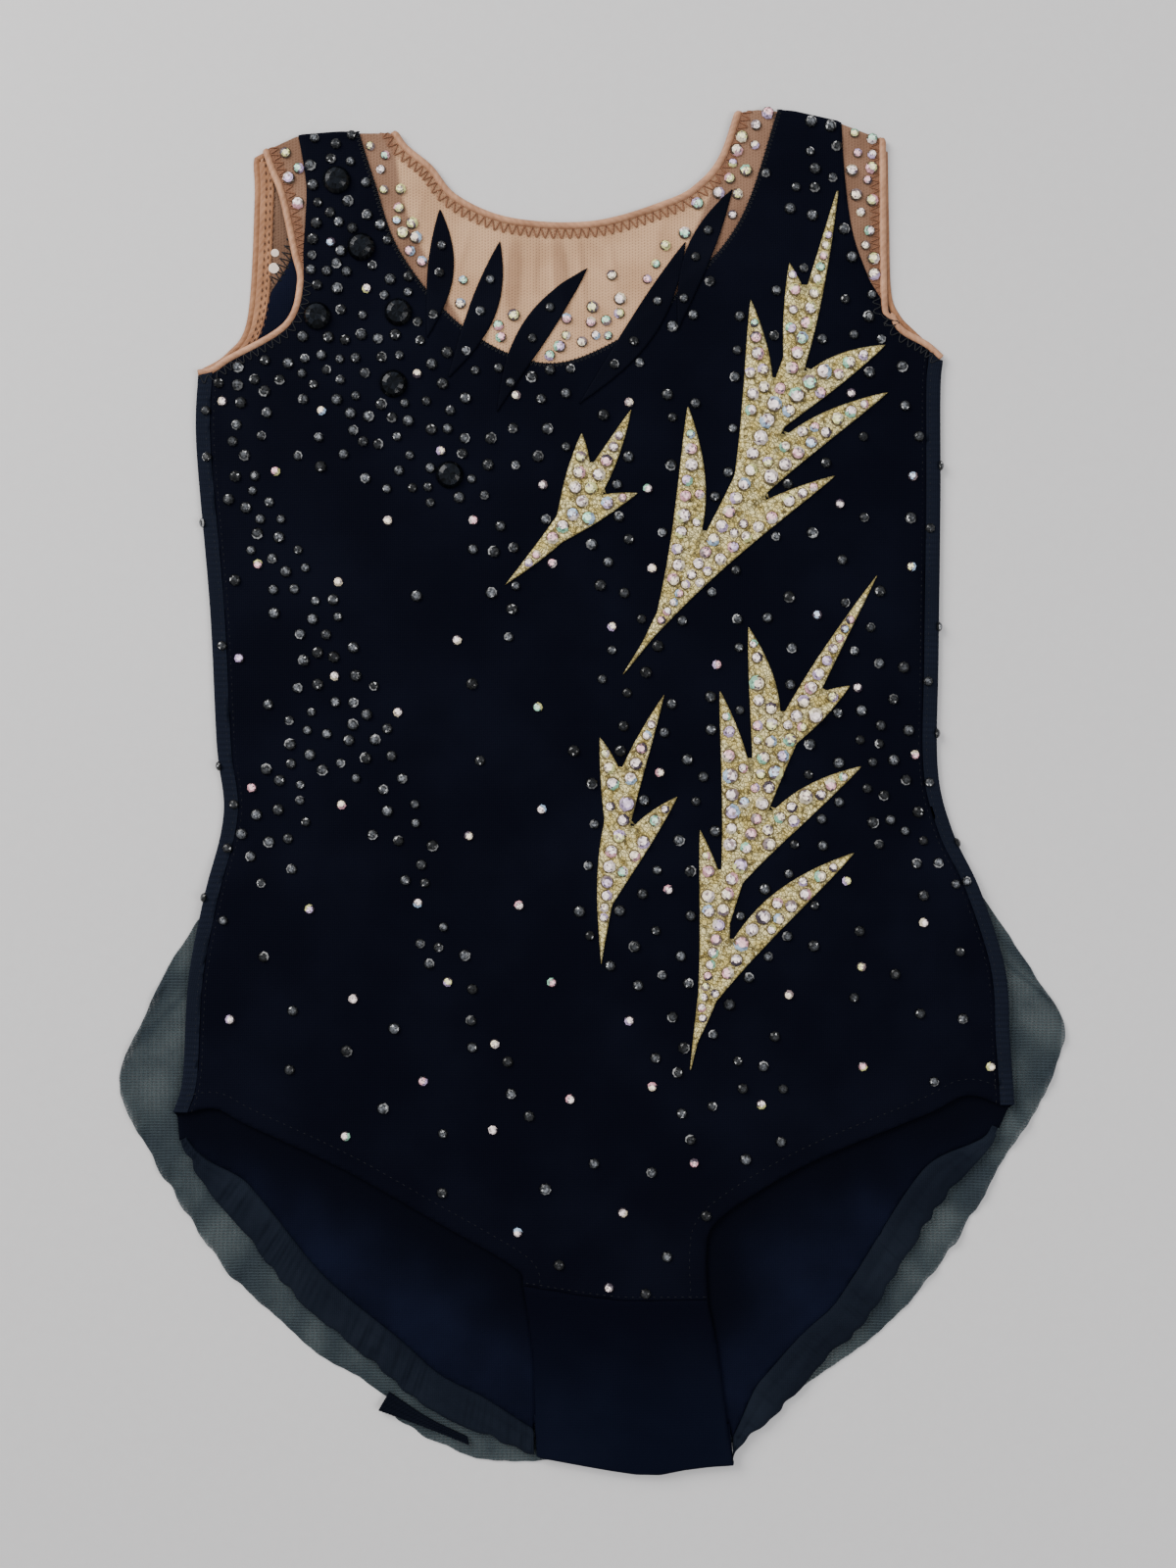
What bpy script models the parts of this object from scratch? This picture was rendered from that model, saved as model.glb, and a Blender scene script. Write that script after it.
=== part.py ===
"""A child's rhythmic gymnastics leotard, laid flat on its back.

Sizes are in millimetres. X runs across the garment, Y towards the neck, Z up from the table.
Each cut piece is drawn flat, as a pattern, and then laid: the front over the back, round the
shoulders, the sides and the crotch. The back piece folds round both sides and meets the front
at the side seams. A sheer skirt lies fanned out under the body.
"""
from collections import namedtuple
from math import cos, pi, radians, sin

import bmesh
import bpy
import numpy as np
from mathutils import Vector
from mathutils.geometry import delaunay_2d_cdt

METRE = 1000.0

# Cloth and how its layers lie
CLOTH = 1.0                       # wall of every panel
LAYER_GAP = 0.6                   # air between the back and the front
FOLD_OUT = 1.3                    # outer radius of a fold, half of two walls and the air
FOLD_MID = FOLD_OUT - CLOTH / 2   # radius that keeps the pattern's length round a fold
HALF_SEAM = 0.16                  # each piece's share of the gap at a seam
TRIM_GAP = 0.32                   # air under what lies on a panel
FRONT_LEVEL = CLOTH + LAYER_GAP   # underside of the front above the back's underside
FLANGE = 5.5                      # how far the back comes round each side onto the front
SHOULDER_TAIL = 3.0               # how far the front runs on under itself past the shoulder
CROTCH_TAIL = 14.0                # how far the gusset runs up the back
BINDING_WIDTH = 2.6
BINDING_WALL = 1.25
LIFT = 1.3                        # the body's underside over the skirt
LIFT_FROM = -18.0                 # the lift starts here and is full at LIFT_FULL
LIFT_FULL = -34.0
CROWN = 1.7                       # soft rise of the front away from its edges
CROWN_RUN = 60.0
FOLD_FADE = 14.0                  # creases die away this far from an edge

# How finely panels are divided
OUTLINE_STEP = 9.0
FRONT_CELL = 15.0
BACK_CELL = 24.0
TRIM_CELL = 14.0
DOUBLED = 1.2                     # corners of an outline closer than this are one corner
POINTS_CLEAR = 0.55               # share of a cell that its points stay away from every edge
MITRE_LIMIT = 0.35                # keeps a sharp corner of an inset outline from running far out
FOLD_ANGLES = np.radians((0, 45, 90, 135, 180))
FOLD_ROW_STEP = 12.0
SHARP_EDGE = radians(40)          # edges that turn more than this are shown sharp

# Moves the outlines so that the origin is under the middle of the whole garment
CENTRE_X = 0.46
CENTRE_Y = 1.2

Spot = namedtuple("Spot", "x y")
Crease = namedtuple("Crease", "x0 y0 x1 y1 half_width height")
Leaf = namedtuple("Leaf", "at side length width angle")
Stem = namedtuple("Stem", "name x0 y0 x1 y1 width bend leaves")
Point = namedtuple("Point", "x0 y0 x1 y1 width bend")


def spots(*pairs):
    return [Spot(*pair) for pair in pairs]


# Outer outline of the body, each side from the underarm down
SIDE_LEFT = spots((-144.7, 153.0), (-145.4, 125.6), (-140.4, 66.2), (-137.9, 15.8), (-135.4, -10.0),
                  (-142.7, -41.8), (-148.0, -70.6), (-150.1, -106.6), (-154.1, -119.9))
SIDE_RIGHT = spots((128.5, 158.4), (127.4, 145.4), (127.4, 106.9), (126.7, 49.0), (126.4, 7.2),
                   (131.8, -15.8), (141.8, -37.8), (150.8, -66.2), (152.5, -91.4), (154.1, -114.5))
SHOULDER_FOLD = spots((-124.6, 230.0), (-120.5, 233.8), (-108.7, 239.3), (-93.6, 240.5), (-73.4, 240.5),
                      (53.3, 248.0), (60.1, 249.1), (73.4, 248.1), (90.0, 244.4), (107.3, 237.7))
CROTCH_FOLD = spots((-20.5, -244.8), (9.7, -250.2), (23.4, -251.3), (37.1, -248.8), (51.5, -247.7))

# Front edges, from the shoulder down or from the side inwards
NECK_FRONT = spots((-73.4, 240.5), (-68.4, 236.0), (-58.8, 227.9), (-49.3, 216.9), (-29.5, 208.8),
                   (0.0, 207.7), (27.0, 215.4), (38.0, 221.5), (46.4, 231.8), (53.3, 248.0))
ARMHOLE_FRONT_LEFT = spots((-120.5, 233.8), (-115.3, 218.5), (-110.2, 194.8), (-108.4, 185.0),
                           (-113.4, 170.3), (-133.9, 158.2), (-139.7, 154.2), (-144.7, 153.2))
ARMHOLE_FRONT_RIGHT = spots((107.3, 237.7), (107.8, 179.8), (110.2, 174.0), (114.1, 168.3),
                            (122.8, 163.4), (128.5, 158.4))
LEG_FRONT_LEFT = spots((-148.2, -118.4), (-137.7, -117.1), (-126.7, -122.8), (-91.8, -139.0),
                       (-63.0, -155.2), (-28.8, -175.0), (-25.4, -181.8))
LEG_FRONT_RIGHT = spots((148.5, -115.6), (136.3, -112.2), (122.0, -119.0), (83.2, -135.0),
                        (59.4, -148.0), (44.0, -159.5), (41.3, -170.0), (41.8, -187.0))
GUSSET_LEFT = spots((-25.4, -181.8), (-22.0, -204.8), (-21.3, -220.0), (-20.5, -244.8))
GUSSET_RIGHT = spots((41.8, -187.0), (45.3, -204.8), (49.3, -234.7), (51.5, -247.7))
GUSSET_SEAM = spots((-25.4, -181.8), (8.0, -186.5), (41.8, -187.0))

# Back edges
NECK_BACK = spots((-73.4, 240.5), (-66.0, 205.0), (-38.0, 155.0), (-18.0, 142.0), (3.0, 150.0),
                  (25.0, 180.0), (42.0, 215.0), (53.3, 248.0))
ARMHOLE_BACK_LEFT = spots((-124.6, 229.5), (-124.3, 214.2), (-126.9, 172.4), (-134.6, 159.5),
                          (-144.7, 153.2))
ARMHOLE_BACK_RIGHT = spots((108.3, 237.2), (108.8, 205.0), (109.6, 182.0), (112.8, 173.5),
                           (118.5, 167.5), (128.5, 158.4))
LEG_BACK_LEFT = spots((-151.4, -129.2), (-143.4, -144.0), (-127.9, -163.1), (-106.9, -188.6),
                      (-79.2, -211.7), (-59.4, -227.9), (-21.6, -244.7))
LEG_BACK_RIGHT = spots((148.7, -124.6), (144.5, -132.5), (126.7, -153.4), (107.3, -184.3),
                       (96.8, -199.1), (85.3, -209.5), (69.8, -226.8), (52.4, -242.4))

# Seams between the black cloth and the skin-coloured mesh, from the shoulder down
BAND_FRONT_LEFT = spots((-108.7, 239.0), (-105.0, 222.0), (-105.2, 208.0), (-106.0, 196.0))
BAND_FRONT_RIGHT = spots((90.7, 242.0), (92.0, 225.0), (95.0, 203.0), (101.0, 186.0))
YOKE_FRONT = spots((-87.1, 240.0), (-80.0, 222.0), (-70.0, 195.0), (-47.0, 168.0), (-18.0, 155.0),
                   (8.0, 163.0), (32.0, 182.0), (54.0, 208.0), (69.1, 247.0))
BAND_BACK_LEFT = spots((-109.0, 237.0), (-107.0, 212.0), (-110.5, 195.0), (-118.0, 182.0))
BAND_BACK_RIGHT = spots((90.7, 242.0), (92.0, 212.0), (96.0, 190.0))
YOKE_BACK = spots((-87.0, 240.0), (-82.0, 205.0), (-62.0, 163.0), (-40.0, 138.0), (-18.0, 127.0),
                  (8.0, 134.0), (36.0, 163.0), (58.0, 203.0), (69.0, 247.0))

# The skirt, from its left corner round the bottom to its right corner
SKIRT_HEM = spots((-144.4, -47.9), (-156.6, -67.0), (-164.2, -83.2), (-173.5, -105.1), (-168.1, -123.1),
                  (-155.5, -145.4), (-136.8, -173.9), (-127.4, -183.2), (-103.3, -205.9),
                  (-77.0, -222.1), (-70.2, -232.6), (-42.5, -245.5), (-6.5, -246.2), (34.2, -245.9),
                  (48.6, -241.6), (85.3, -213.5), (106.2, -198.7), (129.0, -172.0), (148.7, -140.0),
                  (164.5, -113.8), (172.8, -88.2), (164.5, -72.4), (148.7, -48.2), (141.5, -37.5))
SKIRT_SEAM = spots((-139.0, -47.5), (0.0, -45.0), (137.0, -38.5))
SKIRT_RIPPLE = 1.1                # height of the ripples along its free edge
SKIRT_RIPPLES = 34
SKIRT_RIM = 7.0                   # how far in from the edge they reach
SKIRT_FREE_X = (110.0, 130.0)     # they start between these distances from the middle
SKIRT_FREE_Y = (-62.0, -78.0)     # and between these heights, clear of the body
SKIRT_STATIONS = 96
SKIRT_ROWS = 5

# Ruffled elastic hems on the back's leg edges
HEM_WIDTH = 13.0
HEM_START_WIDTH = 3.0
HEM_TAPER = 30.0
HEM_WALL = 1.4
HEM_RUFFLE = 1.1
HEM_WOBBLE = 0.8
HEM_UNEVEN = ((3.1, 0.30), (7.3, 0.18))   # slow waves along a hem that shift its ruffles, and how far
HEM_SWELL = 2.3                   # waves of the ruffles' height along a hem
HEM_WAVES_LEFT = 22
HEM_WAVES_RIGHT = 21

FRONT_CREASES = [
    Crease(140.0, -36.0, 147.0, -104.0, 2.6, 1.0),
    Crease(132.0, -30.0, 139.0, -92.0, 3.2, 1.1),
    Crease(123.0, -42.0, 128.0, -101.0, 3.0, 0.7),
    Crease(-131.0, 146.0, -112.0, 96.0, 4.0, 0.9),
    Crease(-122.0, 152.0, -98.0, 120.0, 4.0, 0.7),
    Crease(-13.0, 203.0, -10.0, 168.0, 2.4, 0.7),
    Crease(-28.0, 203.0, -30.0, 170.0, 2.6, 0.6),
    Crease(2.0, -196.0, 10.0, -236.0, 4.0, 0.8),
]

# Slender leaves of gold lace on their stems
LEAF_FULLEST = 1.1                # over 0.8 a leaf is widest near its tip, under it near its base
GOLD_SPRAYS = [
    Stem("gold_spray_upper", 10.0, 40.0, 90.0, 221.0, 9.5, -13.0, [
        Leaf(0.05, -1, 98.0, 11.5, 24), Leaf(0.10, 1, 84.0, 11.0, 15), Leaf(0.28, -1, 88.0, 11.5, 25),
        Leaf(0.36, 1, 78.0, 11.0, 18), Leaf(0.50, -1, 58.0, 11.0, 27), Leaf(0.60, 1, 48.0, 10.0, 21)]),
    Stem("gold_spray_lower", 35.0, -105.0, 104.0, 78.0, 10.0, 12.0, [
        Leaf(0.05, 1, 80.0, 11.0, 19), Leaf(0.10, -1, 84.0, 11.5, 22), Leaf(0.27, 1, 88.0, 11.5, 20),
        Leaf(0.33, -1, 70.0, 11.0, 25), Leaf(0.50, 1, 68.0, 11.0, 22), Leaf(0.60, -1, 40.0, 9.5, 24)]),
    Stem("gold_spray_left", 3.0, -64.0, 26.0, 34.0, 9.5, 6.0, [
        Leaf(0.16, -1, 52.0, 9.5, 18), Leaf(0.34, 1, 48.0, 9.0, 17)]),
    Stem("gold_spray_small", -32.0, 74.0, 14.0, 138.0, 9.0, -5.0, [
        Leaf(0.16, -1, 46.0, 9.5, 22), Leaf(0.30, 1, 40.0, 9.0, 20)]),
]

# Black leaf-shaped points that rise from the body over the mesh yoke
YOKE_LEAVES = [
    Point(-60.5, 164.0, -56.0, 212.0, 9.5, -2.5),
    Point(-53.0, 149.0, -34.0, 200.0, 10.0, -3.0),
    Point(-35.0, 137.0, -2.0, 190.0, 10.5, 4.0),
    Point(-5.0, 140.0, 34.0, 200.0, 10.5, -4.0),
    Point(31.0, 167.0, 51.0, 219.0, 9.5, 3.0),
]

LARGE_STONES = spots((-93.6, 222.0), (-84.6, 197.5), (-100.8, 172.5), (-71.0, 173.5), (-72.7, 147.3),
                     (-52.2, 114.1))
STONE_RADIUS = 5.0
STONE_TABLE = 3.2
STONE_HEIGHT = 3.0
STONE_SIDES = 8

# The back's elastic, seen as a ribbed strip where it comes out past the left hem
STRIP_NEAR = spots((-74.6, -221.2), (-60.5, -230.6), (-46.0, -237.6))
STRIP_FAR = spots((-78.5, -227.8), (-60.8, -234.2), (-45.4, -240.4))
STRIP_RIB = 0.4

Finish = namedtuple("Finish", "name colour roughness metallic")
BLACK = Finish("black stretch cloth", (0.004, 0.006, 0.014), 0.85, 0.0)
NAVY = Finish("navy lining cloth", (0.006, 0.010, 0.022), 0.9, 0.0)
MESH = Finish("skin-coloured mesh", (0.52, 0.31, 0.20), 0.8, 0.0)
BINDING = Finish("skin-coloured binding", (0.50, 0.28, 0.17), 0.6, 0.0)
SHEER = Finish("sheer black net", (0.06, 0.08, 0.08), 0.9, 0.0)
GOLD = Finish("gold foil lace", (0.58, 0.46, 0.16), 0.35, 0.9)
STONE = Finish("black glass stone", (0.01, 0.01, 0.012), 0.1, 0.2)


# Curves and outlines in the plane

def smoothstep(value):
    t = np.clip(value, 0.0, 1.0)
    return t * t * (3.0 - 2.0 * t)


def curve(points, step=OUTLINE_STEP):
    """Round curve through the points (Catmull-Rom), cut into even steps near the given length."""
    p = np.array(points, dtype=float)
    p = np.vstack([2 * p[0] - p[1], p, 2 * p[-1] - p[-2]])
    t = np.linspace(0, 1, 13)[:-1, None]
    runs = []
    for a, b, c, d in zip(p[:-3], p[1:-2], p[2:-1], p[3:]):
        runs.append(0.5 * (2 * b + (c - a) * t + (2 * a - 5 * b + 4 * c - d) * t ** 2
                           + (3 * b - a - 3 * c + d) * t ** 3))
    fine = np.vstack(runs + [p[-2:-1]])
    length = np.concatenate([[0], np.cumsum(np.hypot(*np.diff(fine, axis=0).T))])
    count = max(2, int(round(length[-1] / step)) + 1)
    even = np.linspace(0, length[-1], count)
    return np.column_stack([np.interp(even, length, fine[:, i]) for i in (0, 1)])


def sideways(line, distance):
    """The line moved to the left of its own direction; distance may differ along it."""
    ahead = np.gradient(line, axis=0)
    ahead /= np.linalg.norm(ahead, axis=1)[:, None]
    left = np.column_stack([-ahead[:, 1], ahead[:, 0]])
    return line + left * np.broadcast_to(distance, len(line))[:, None]


def ring(*edges):
    """One closed outline from edges that follow each other, without doubled points."""
    points = np.vstack(edges)
    step = np.linalg.norm(points - np.roll(points, 1, axis=0), axis=1)
    return points[step > DOUBLED]


def inset(loop, distance):
    """The closed outline moved inwards by a distance, with corners kept."""
    area = np.sum(loop[:, 0] * np.roll(loop[:, 1], -1) - np.roll(loop[:, 0], -1) * loop[:, 1])
    before = loop - np.roll(loop, 1, axis=0)
    before /= np.linalg.norm(before, axis=1)[:, None]
    after = np.roll(before, -1, axis=0)
    turn = np.sign(area)
    normal_before = turn * np.column_stack([-before[:, 1], before[:, 0]])
    normal_after = turn * np.column_stack([-after[:, 1], after[:, 0]])
    spread = 1.0 + np.sum(normal_before * normal_after, axis=1)
    return loop + distance * (normal_before + normal_after) / np.maximum(spread, MITRE_LIMIT)[:, None]


def inside(points, loop):
    """Which points lie inside a closed outline, by the crossings of a ray to the right."""
    x, y = points[:, 0, None], points[:, 1, None]
    x0, y0 = loop.T
    x1, y1 = np.roll(loop, -1, axis=0).T
    crosses = (y0 > y) != (y1 > y)
    rise = np.where(y1 == y0, 1.0, y1 - y0)
    crossings = np.sum(crosses & (x < x0 + (y - y0) * (x1 - x0) / rise), axis=1)
    return crossings % 2 == 1


def distance_to(points, line):
    """Distance from each point to the nearest stretch of a line."""
    start, run = line[:-1], np.diff(line, axis=0)
    to_point = points[:, None] - start
    along = np.sum(to_point * run, axis=2) / np.maximum(np.sum(run * run, axis=1), 1e-9)
    nearest = to_point - np.clip(along, 0, 1)[:, :, None] * run
    return np.sqrt(np.min(np.sum(nearest ** 2, axis=2), axis=1))


def height_of(line):
    """A function that gives the line's Y at any X."""
    ordered = line[np.argsort(line[:, 0])]
    return lambda x: np.interp(x, ordered[:, 0], ordered[:, 1])


def place_of(line):
    """A function that gives the line's X at any Y."""
    ordered = line[np.argsort(line[:, 1])]
    return lambda y: np.interp(y, ordered[:, 1], ordered[:, 0])


side_left_curve = curve(SIDE_LEFT)
side_right_curve = curve(SIDE_RIGHT)
side_left = place_of(side_left_curve)
side_right = place_of(side_right_curve)
shoulder_fold = height_of(np.array(SHOULDER_FOLD))
crotch_fold = height_of(curve(CROTCH_FOLD))


def front_end(x):
    """Pattern height where the front's tail ends, round the shoulder fold."""
    return shoulder_fold(x) - FOLD_OUT + pi * FOLD_MID + SHOULDER_TAIL


def back_end(x):
    """Where the back stops, short of the front's tail."""
    return shoulder_fold(x) - FOLD_OUT - SHOULDER_TAIL


def gusset_end(x):
    """Pattern height where the gusset's tail ends, round the crotch fold."""
    return crotch_fold(x) + FOLD_OUT - pi * FOLD_MID - CROTCH_TAIL


def crotch_seam(x):
    """Where the gusset's tail meets the back."""
    return crotch_fold(x) + FOLD_OUT + CROTCH_TAIL


def from_shoulder(points, end):
    """An edge curve whose first point is moved to where its piece ends at the shoulder."""
    first = Spot(points[0].x, float(end(points[0].x)))
    return curve([first] + points[1:])


def across(x0, x1, end, step=OUTLINE_STEP):
    """A piece's end, from one side to the other."""
    x = np.linspace(x0, x1, max(2, int(round(abs(x1 - x0) / step)) + 1))
    return np.column_stack([x, end(x)])


# How the layers lie

def lift(y):
    return LIFT * smoothstep((LIFT_FROM - y) / (LIFT_FROM - LIFT_FULL))


def front_rim():
    """The front's whole edge as it is seen, where its creases and its crown die away."""
    neck = curve(NECK_FRONT)
    left = curve(ARMHOLE_FRONT_LEFT)
    right = curve(ARMHOLE_FRONT_RIGHT)
    seam_left = side_left_curve + (FLANGE, 0)
    seam_right = side_right_curve - (FLANGE, 0)
    bottom = across(GUSSET_LEFT[-1].x, GUSSET_RIGHT[-1].x, lambda x: crotch_fold(x) + FOLD_OUT)
    shoulder_left = across(left[0, 0], neck[0, 0], lambda x: shoulder_fold(x) - FOLD_OUT)
    shoulder_right = across(neck[-1, 0], right[0, 0], lambda x: shoulder_fold(x) - FOLD_OUT)
    return ring(seam_left[::-1], left[::-1], shoulder_left, neck, shoulder_right, right, seam_right,
                curve(LEG_FRONT_RIGHT), curve(GUSSET_RIGHT), bottom[::-1], curve(GUSSET_LEFT)[::-1],
                curve(LEG_FRONT_LEFT)[::-1])


FRONT_RIM = front_rim()


def front_height(x, y):
    """Underside of the front: level at its edges, softly raised inside them, with its creases."""
    points = np.column_stack([x, y])
    edge = distance_to(points, np.vstack([FRONT_RIM, FRONT_RIM[:1]]))
    raised = CROWN * smoothstep(edge / CROWN_RUN)
    fade = smoothstep(edge / FOLD_FADE)
    for crease in FRONT_CREASES:
        start = np.array([crease.x0, crease.y0])
        run = np.array([crease.x1, crease.y1]) - start
        along = np.clip((points - start) @ run / (run @ run), 0, 1)
        away = np.linalg.norm(points - start - along[:, None] * run, axis=1)
        ridge = np.cos(np.clip(away / (2 * crease.half_width), 0, 1) * pi) * 0.5 + 0.5
        raised += crease.height * ridge * np.sin(pi * (0.1 + 0.8 * along)) * fade
    return lift(y) + FRONT_LEVEL + raised


def lay_front(x, y, out):
    """Lay the front over the back, then round the shoulder fold or the crotch fold."""
    past_shoulder = y - (shoulder_fold(x) - FOLD_OUT)
    past_crotch = (crotch_fold(x) + FOLD_OUT) - y
    z_flat = np.where((past_shoulder > 0) | (past_crotch > 0), lift(y) + FRONT_LEVEL, front_height(x, y))
    flat = np.column_stack([x, y, z_flat + out])
    upwards = lay_fold(x, shoulder_fold(x) - FOLD_OUT, past_shoulder, out, 1)
    downwards = lay_fold(x, crotch_fold(x) + FOLD_OUT, past_crotch, out, -1)
    laid = np.where((past_shoulder > 0)[:, None], upwards, flat)
    return np.where((past_crotch > 0)[:, None], downwards, laid)


def lay_fold(x, start, past, out, way):
    """Round a fold across the garment, then back under, with the pattern's length kept."""
    turn = np.clip(past / FOLD_MID, 0, pi)
    beyond = np.maximum(past - pi * FOLD_MID, 0)
    spare = np.maximum(out - CLOTH, 0) * (1 - np.cos(turn)) / 2
    radius = FOLD_OUT - CLOTH + out - spare
    y = start + way * (radius * np.sin(turn) - beyond)
    return np.column_stack([x, y, lift(y) + FOLD_OUT + radius * np.cos(turn)])


def lay_back(x, y, out):
    """Lay the back on the table or the skirt, then round both side folds onto the front's level."""
    left_start, right_start = side_left(y) + FOLD_OUT, side_right(y) - FOLD_OUT
    past_left = np.where(y > LEG_FRONT_LEFT[0].y, left_start - x, 0)
    past_right = np.where(y > LEG_FRONT_RIGHT[0].y, x - right_start, 0)
    past = np.maximum(np.maximum(past_left, past_right), 0)
    turn = np.clip(past / FOLD_MID, 0, pi)
    beyond = np.maximum(past - pi * FOLD_MID, 0)
    radius = FOLD_OUT - out
    reach = radius * np.sin(turn) - beyond
    around_x = np.where(past_left > past_right, left_start - reach, right_start + reach)
    around_z = FOLD_OUT - radius * np.cos(turn)
    folded = past > 0
    return np.column_stack([np.where(folded, around_x, x), y, lift(y) + np.where(folded, around_z, out)])


def lay_on_front(gap):
    """Lay a trim over the front's top, a small gap above it."""
    def lay(x, y, out):
        return np.column_stack([x, y, front_height(x, y) + CLOTH + gap + out])
    return lay


# Making solids

def finish_material(finish):
    material = bpy.data.materials.get(finish.name)
    if material is None:
        material = bpy.data.materials.new(finish.name)
        material.use_nodes = True
        shader = material.node_tree.nodes["Principled BSDF"]
        shader.inputs["Base Color"].default_value = (*finish.colour, 1.0)
        shader.inputs["Roughness"].default_value = finish.roughness
        shader.inputs["Metallic"].default_value = finish.metallic
    return material


def add_piece(name, bm, finish):
    """Make the mesh an object in metres, its faces pointing out."""
    for vert in bm.verts:
        vert.co = (vert.co + Vector((CENTRE_X, CENTRE_Y, 0))) / METRE
    bmesh.ops.recalc_face_normals(bm, faces=bm.faces[:])
    if bm.calc_volume(signed=True) < 0:
        bmesh.ops.reverse_faces(bm, faces=bm.faces[:])
    mesh = bpy.data.meshes.new(name)
    bm.to_mesh(mesh)
    bm.free()
    mesh.shade_smooth()
    mesh.set_sharp_from_angle(angle=SHARP_EDGE)
    mesh.materials.append(finish_material(finish))
    piece = bpy.data.objects.new(name, mesh)
    bpy.data.collections["leotard"].objects.link(piece)
    return piece


def thicken(bm, wall, lay):
    """Give a flat sheet its wall, then lay every point from its pattern place."""
    grown = bmesh.ops.extrude_face_region(bm, geom=bm.faces[:], use_keep_orig=True)
    for item in grown["geom"]:
        if isinstance(item, bmesh.types.BMVert):
            item.co.z = wall
    bm.verts.ensure_lookup_table()
    places = np.array([vert.co for vert in bm.verts])
    for vert, laid in zip(bm.verts, lay(*places.T)):
        vert.co = Vector(laid)


def interior(loops, lines, cell):
    """Points of an even triangular grid inside the outlines, clear of every edge."""
    low = np.min([loop.min(axis=0) for loop in loops], axis=0)
    high = np.max([loop.max(axis=0) for loop in loops], axis=0)
    row_height = cell * sin(radians(60))
    rows = np.arange(low[1], high[1], row_height)
    columns = np.arange(low[0], high[0], cell)
    shift = (np.arange(len(rows)) % 2) * cell / 2
    grid = np.column_stack([(columns[None, :] + shift[:, None]).ravel(), np.repeat(rows, len(columns))])
    kept = np.any([inside(grid, loop) for loop in loops], axis=0)
    for line in lines:
        kept &= distance_to(grid, line) > POINTS_CLEAR * cell
    return grid[kept]


def flat_cut(loops, rows, cell):
    """Cut one flat sheet from closed outlines, which may overlap, with rows of edges across it."""
    closed = [np.vstack([loop, loop[:1]]) for loop in loops]
    points, edges = [], []
    for line in closed + list(rows):
        first = len(points)
        points.extend(line)
        edges.extend((first + i, first + i + 1) for i in range(len(line) - 1))
    points.extend(interior(loops, closed + list(rows), cell))
    flat, _, triangles, _, _, _ = delaunay_2d_cdt([Vector(p) for p in points], edges, [], 1, 1e-3)
    flat = np.array(flat)
    centres = flat[np.array(triangles)].mean(axis=1)
    kept = np.any([inside(centres, loop) for loop in loops], axis=0)
    return flat, [triangle for triangle, keep in zip(triangles, kept) if keep]


def cloth(name, loops, lay, finish, rows=(), cell=FRONT_CELL, wall=CLOTH):
    """One cut piece: its outlines less half a seam gap, given a wall and laid in its place."""
    flat, triangles = flat_cut([inset(loop, HALF_SEAM) for loop in loops], rows, cell)
    bm = bmesh.new()
    corners = {index: bm.verts.new((*flat[index], 0.0)) for index in sorted(set(sum(triangles, [])))}
    for triangle in triangles:
        bm.faces.new([corners[index] for index in triangle])
    thicken(bm, wall, lay)
    return add_piece(name, bm, finish)


def strip(name, stations, cells, lay, finish):
    """A long piece from an even grid: lay takes the place along it, across it and through it, 0 to 1."""
    bm = bmesh.new()
    bmesh.ops.create_grid(bm, x_segments=stations, y_segments=cells, size=0.5)
    bmesh.ops.translate(bm, verts=bm.verts, vec=(0.5, 0.5, 0.0))
    bmesh.ops.triangulate(bm, faces=bm.faces[:])
    thicken(bm, 1.0, lay)
    return add_piece(name, bm, finish)


def along(line, part):
    """Points of an evenly stepped line at parts of its length from 0 to 1."""
    place = np.linspace(0, 1, len(line))
    return np.column_stack([np.interp(part, place, line[:, i]) for i in (0, 1)])


# Rows of edges along the folds, so that the cloth bends round them

def shoulder_rows(x0, x1):
    return [across(x0, x1, lambda x, a=angle: shoulder_fold(x) - FOLD_OUT + a * FOLD_MID, FOLD_ROW_STEP)
            for angle in FOLD_ANGLES]


def crotch_rows(x0, x1):
    return [across(x0, x1, lambda x, a=angle: crotch_fold(x) + FOLD_OUT - a * FOLD_MID, FOLD_ROW_STEP)
            for angle in FOLD_ANGLES]


def crease_rows():
    """Rows along each crease of the front and to both sides of it, as far as it reaches."""
    rows = []
    for crease in FRONT_CREASES:
        line = curve([Spot(crease.x0, crease.y0), Spot(crease.x1, crease.y1)], 16.0)
        rows += [sideways(line, crease.half_width * k) for k in (-2, -1, 0, 1, 2)]
    return rows


def lift_rows():
    """Rows across the body where it rises onto the skirt."""
    return [across(-170.0, 170.0, lambda x, y=y: np.full_like(x, y), 20.0)
            for y in np.linspace(LIFT_FROM, LIFT_FULL, 3)]


def side_rows(side, way, top, bottom):
    """Rows down one side fold of the back, from the armhole to the leg."""
    y = np.linspace(top, bottom, int((top - bottom) / FOLD_ROW_STEP))
    return [np.column_stack([side(y) - way * (FOLD_OUT - angle * FOLD_MID), y]) for angle in FOLD_ANGLES]


# The outline curves that neighbouring pieces share

def to_shoulders(points, end):
    """An edge curve between both shoulders, its ends moved to where its piece ends."""
    first = Spot(points[0].x, float(end(points[0].x)))
    last = Spot(points[-1].x, float(end(points[-1].x)))
    return curve([first] + points[1:-1] + [last])


def nearest(line, spot):
    """Place in a line of the corner nearest to a spot."""
    return int(np.argmin(np.hypot(*(line - spot).T)))


def cut_at_seam(line, side, way):
    """The line up to the side seam, ending on it."""
    seam = side(line[:, 1]) - way * FLANGE
    kept = line[way * (seam - line[:, 0]) > 1.0]
    tail = line[-5:]
    x = float(side(line[-1, 1]) - way * FLANGE)
    return np.vstack([kept, [x, height_of(tail)(x)]])


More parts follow.
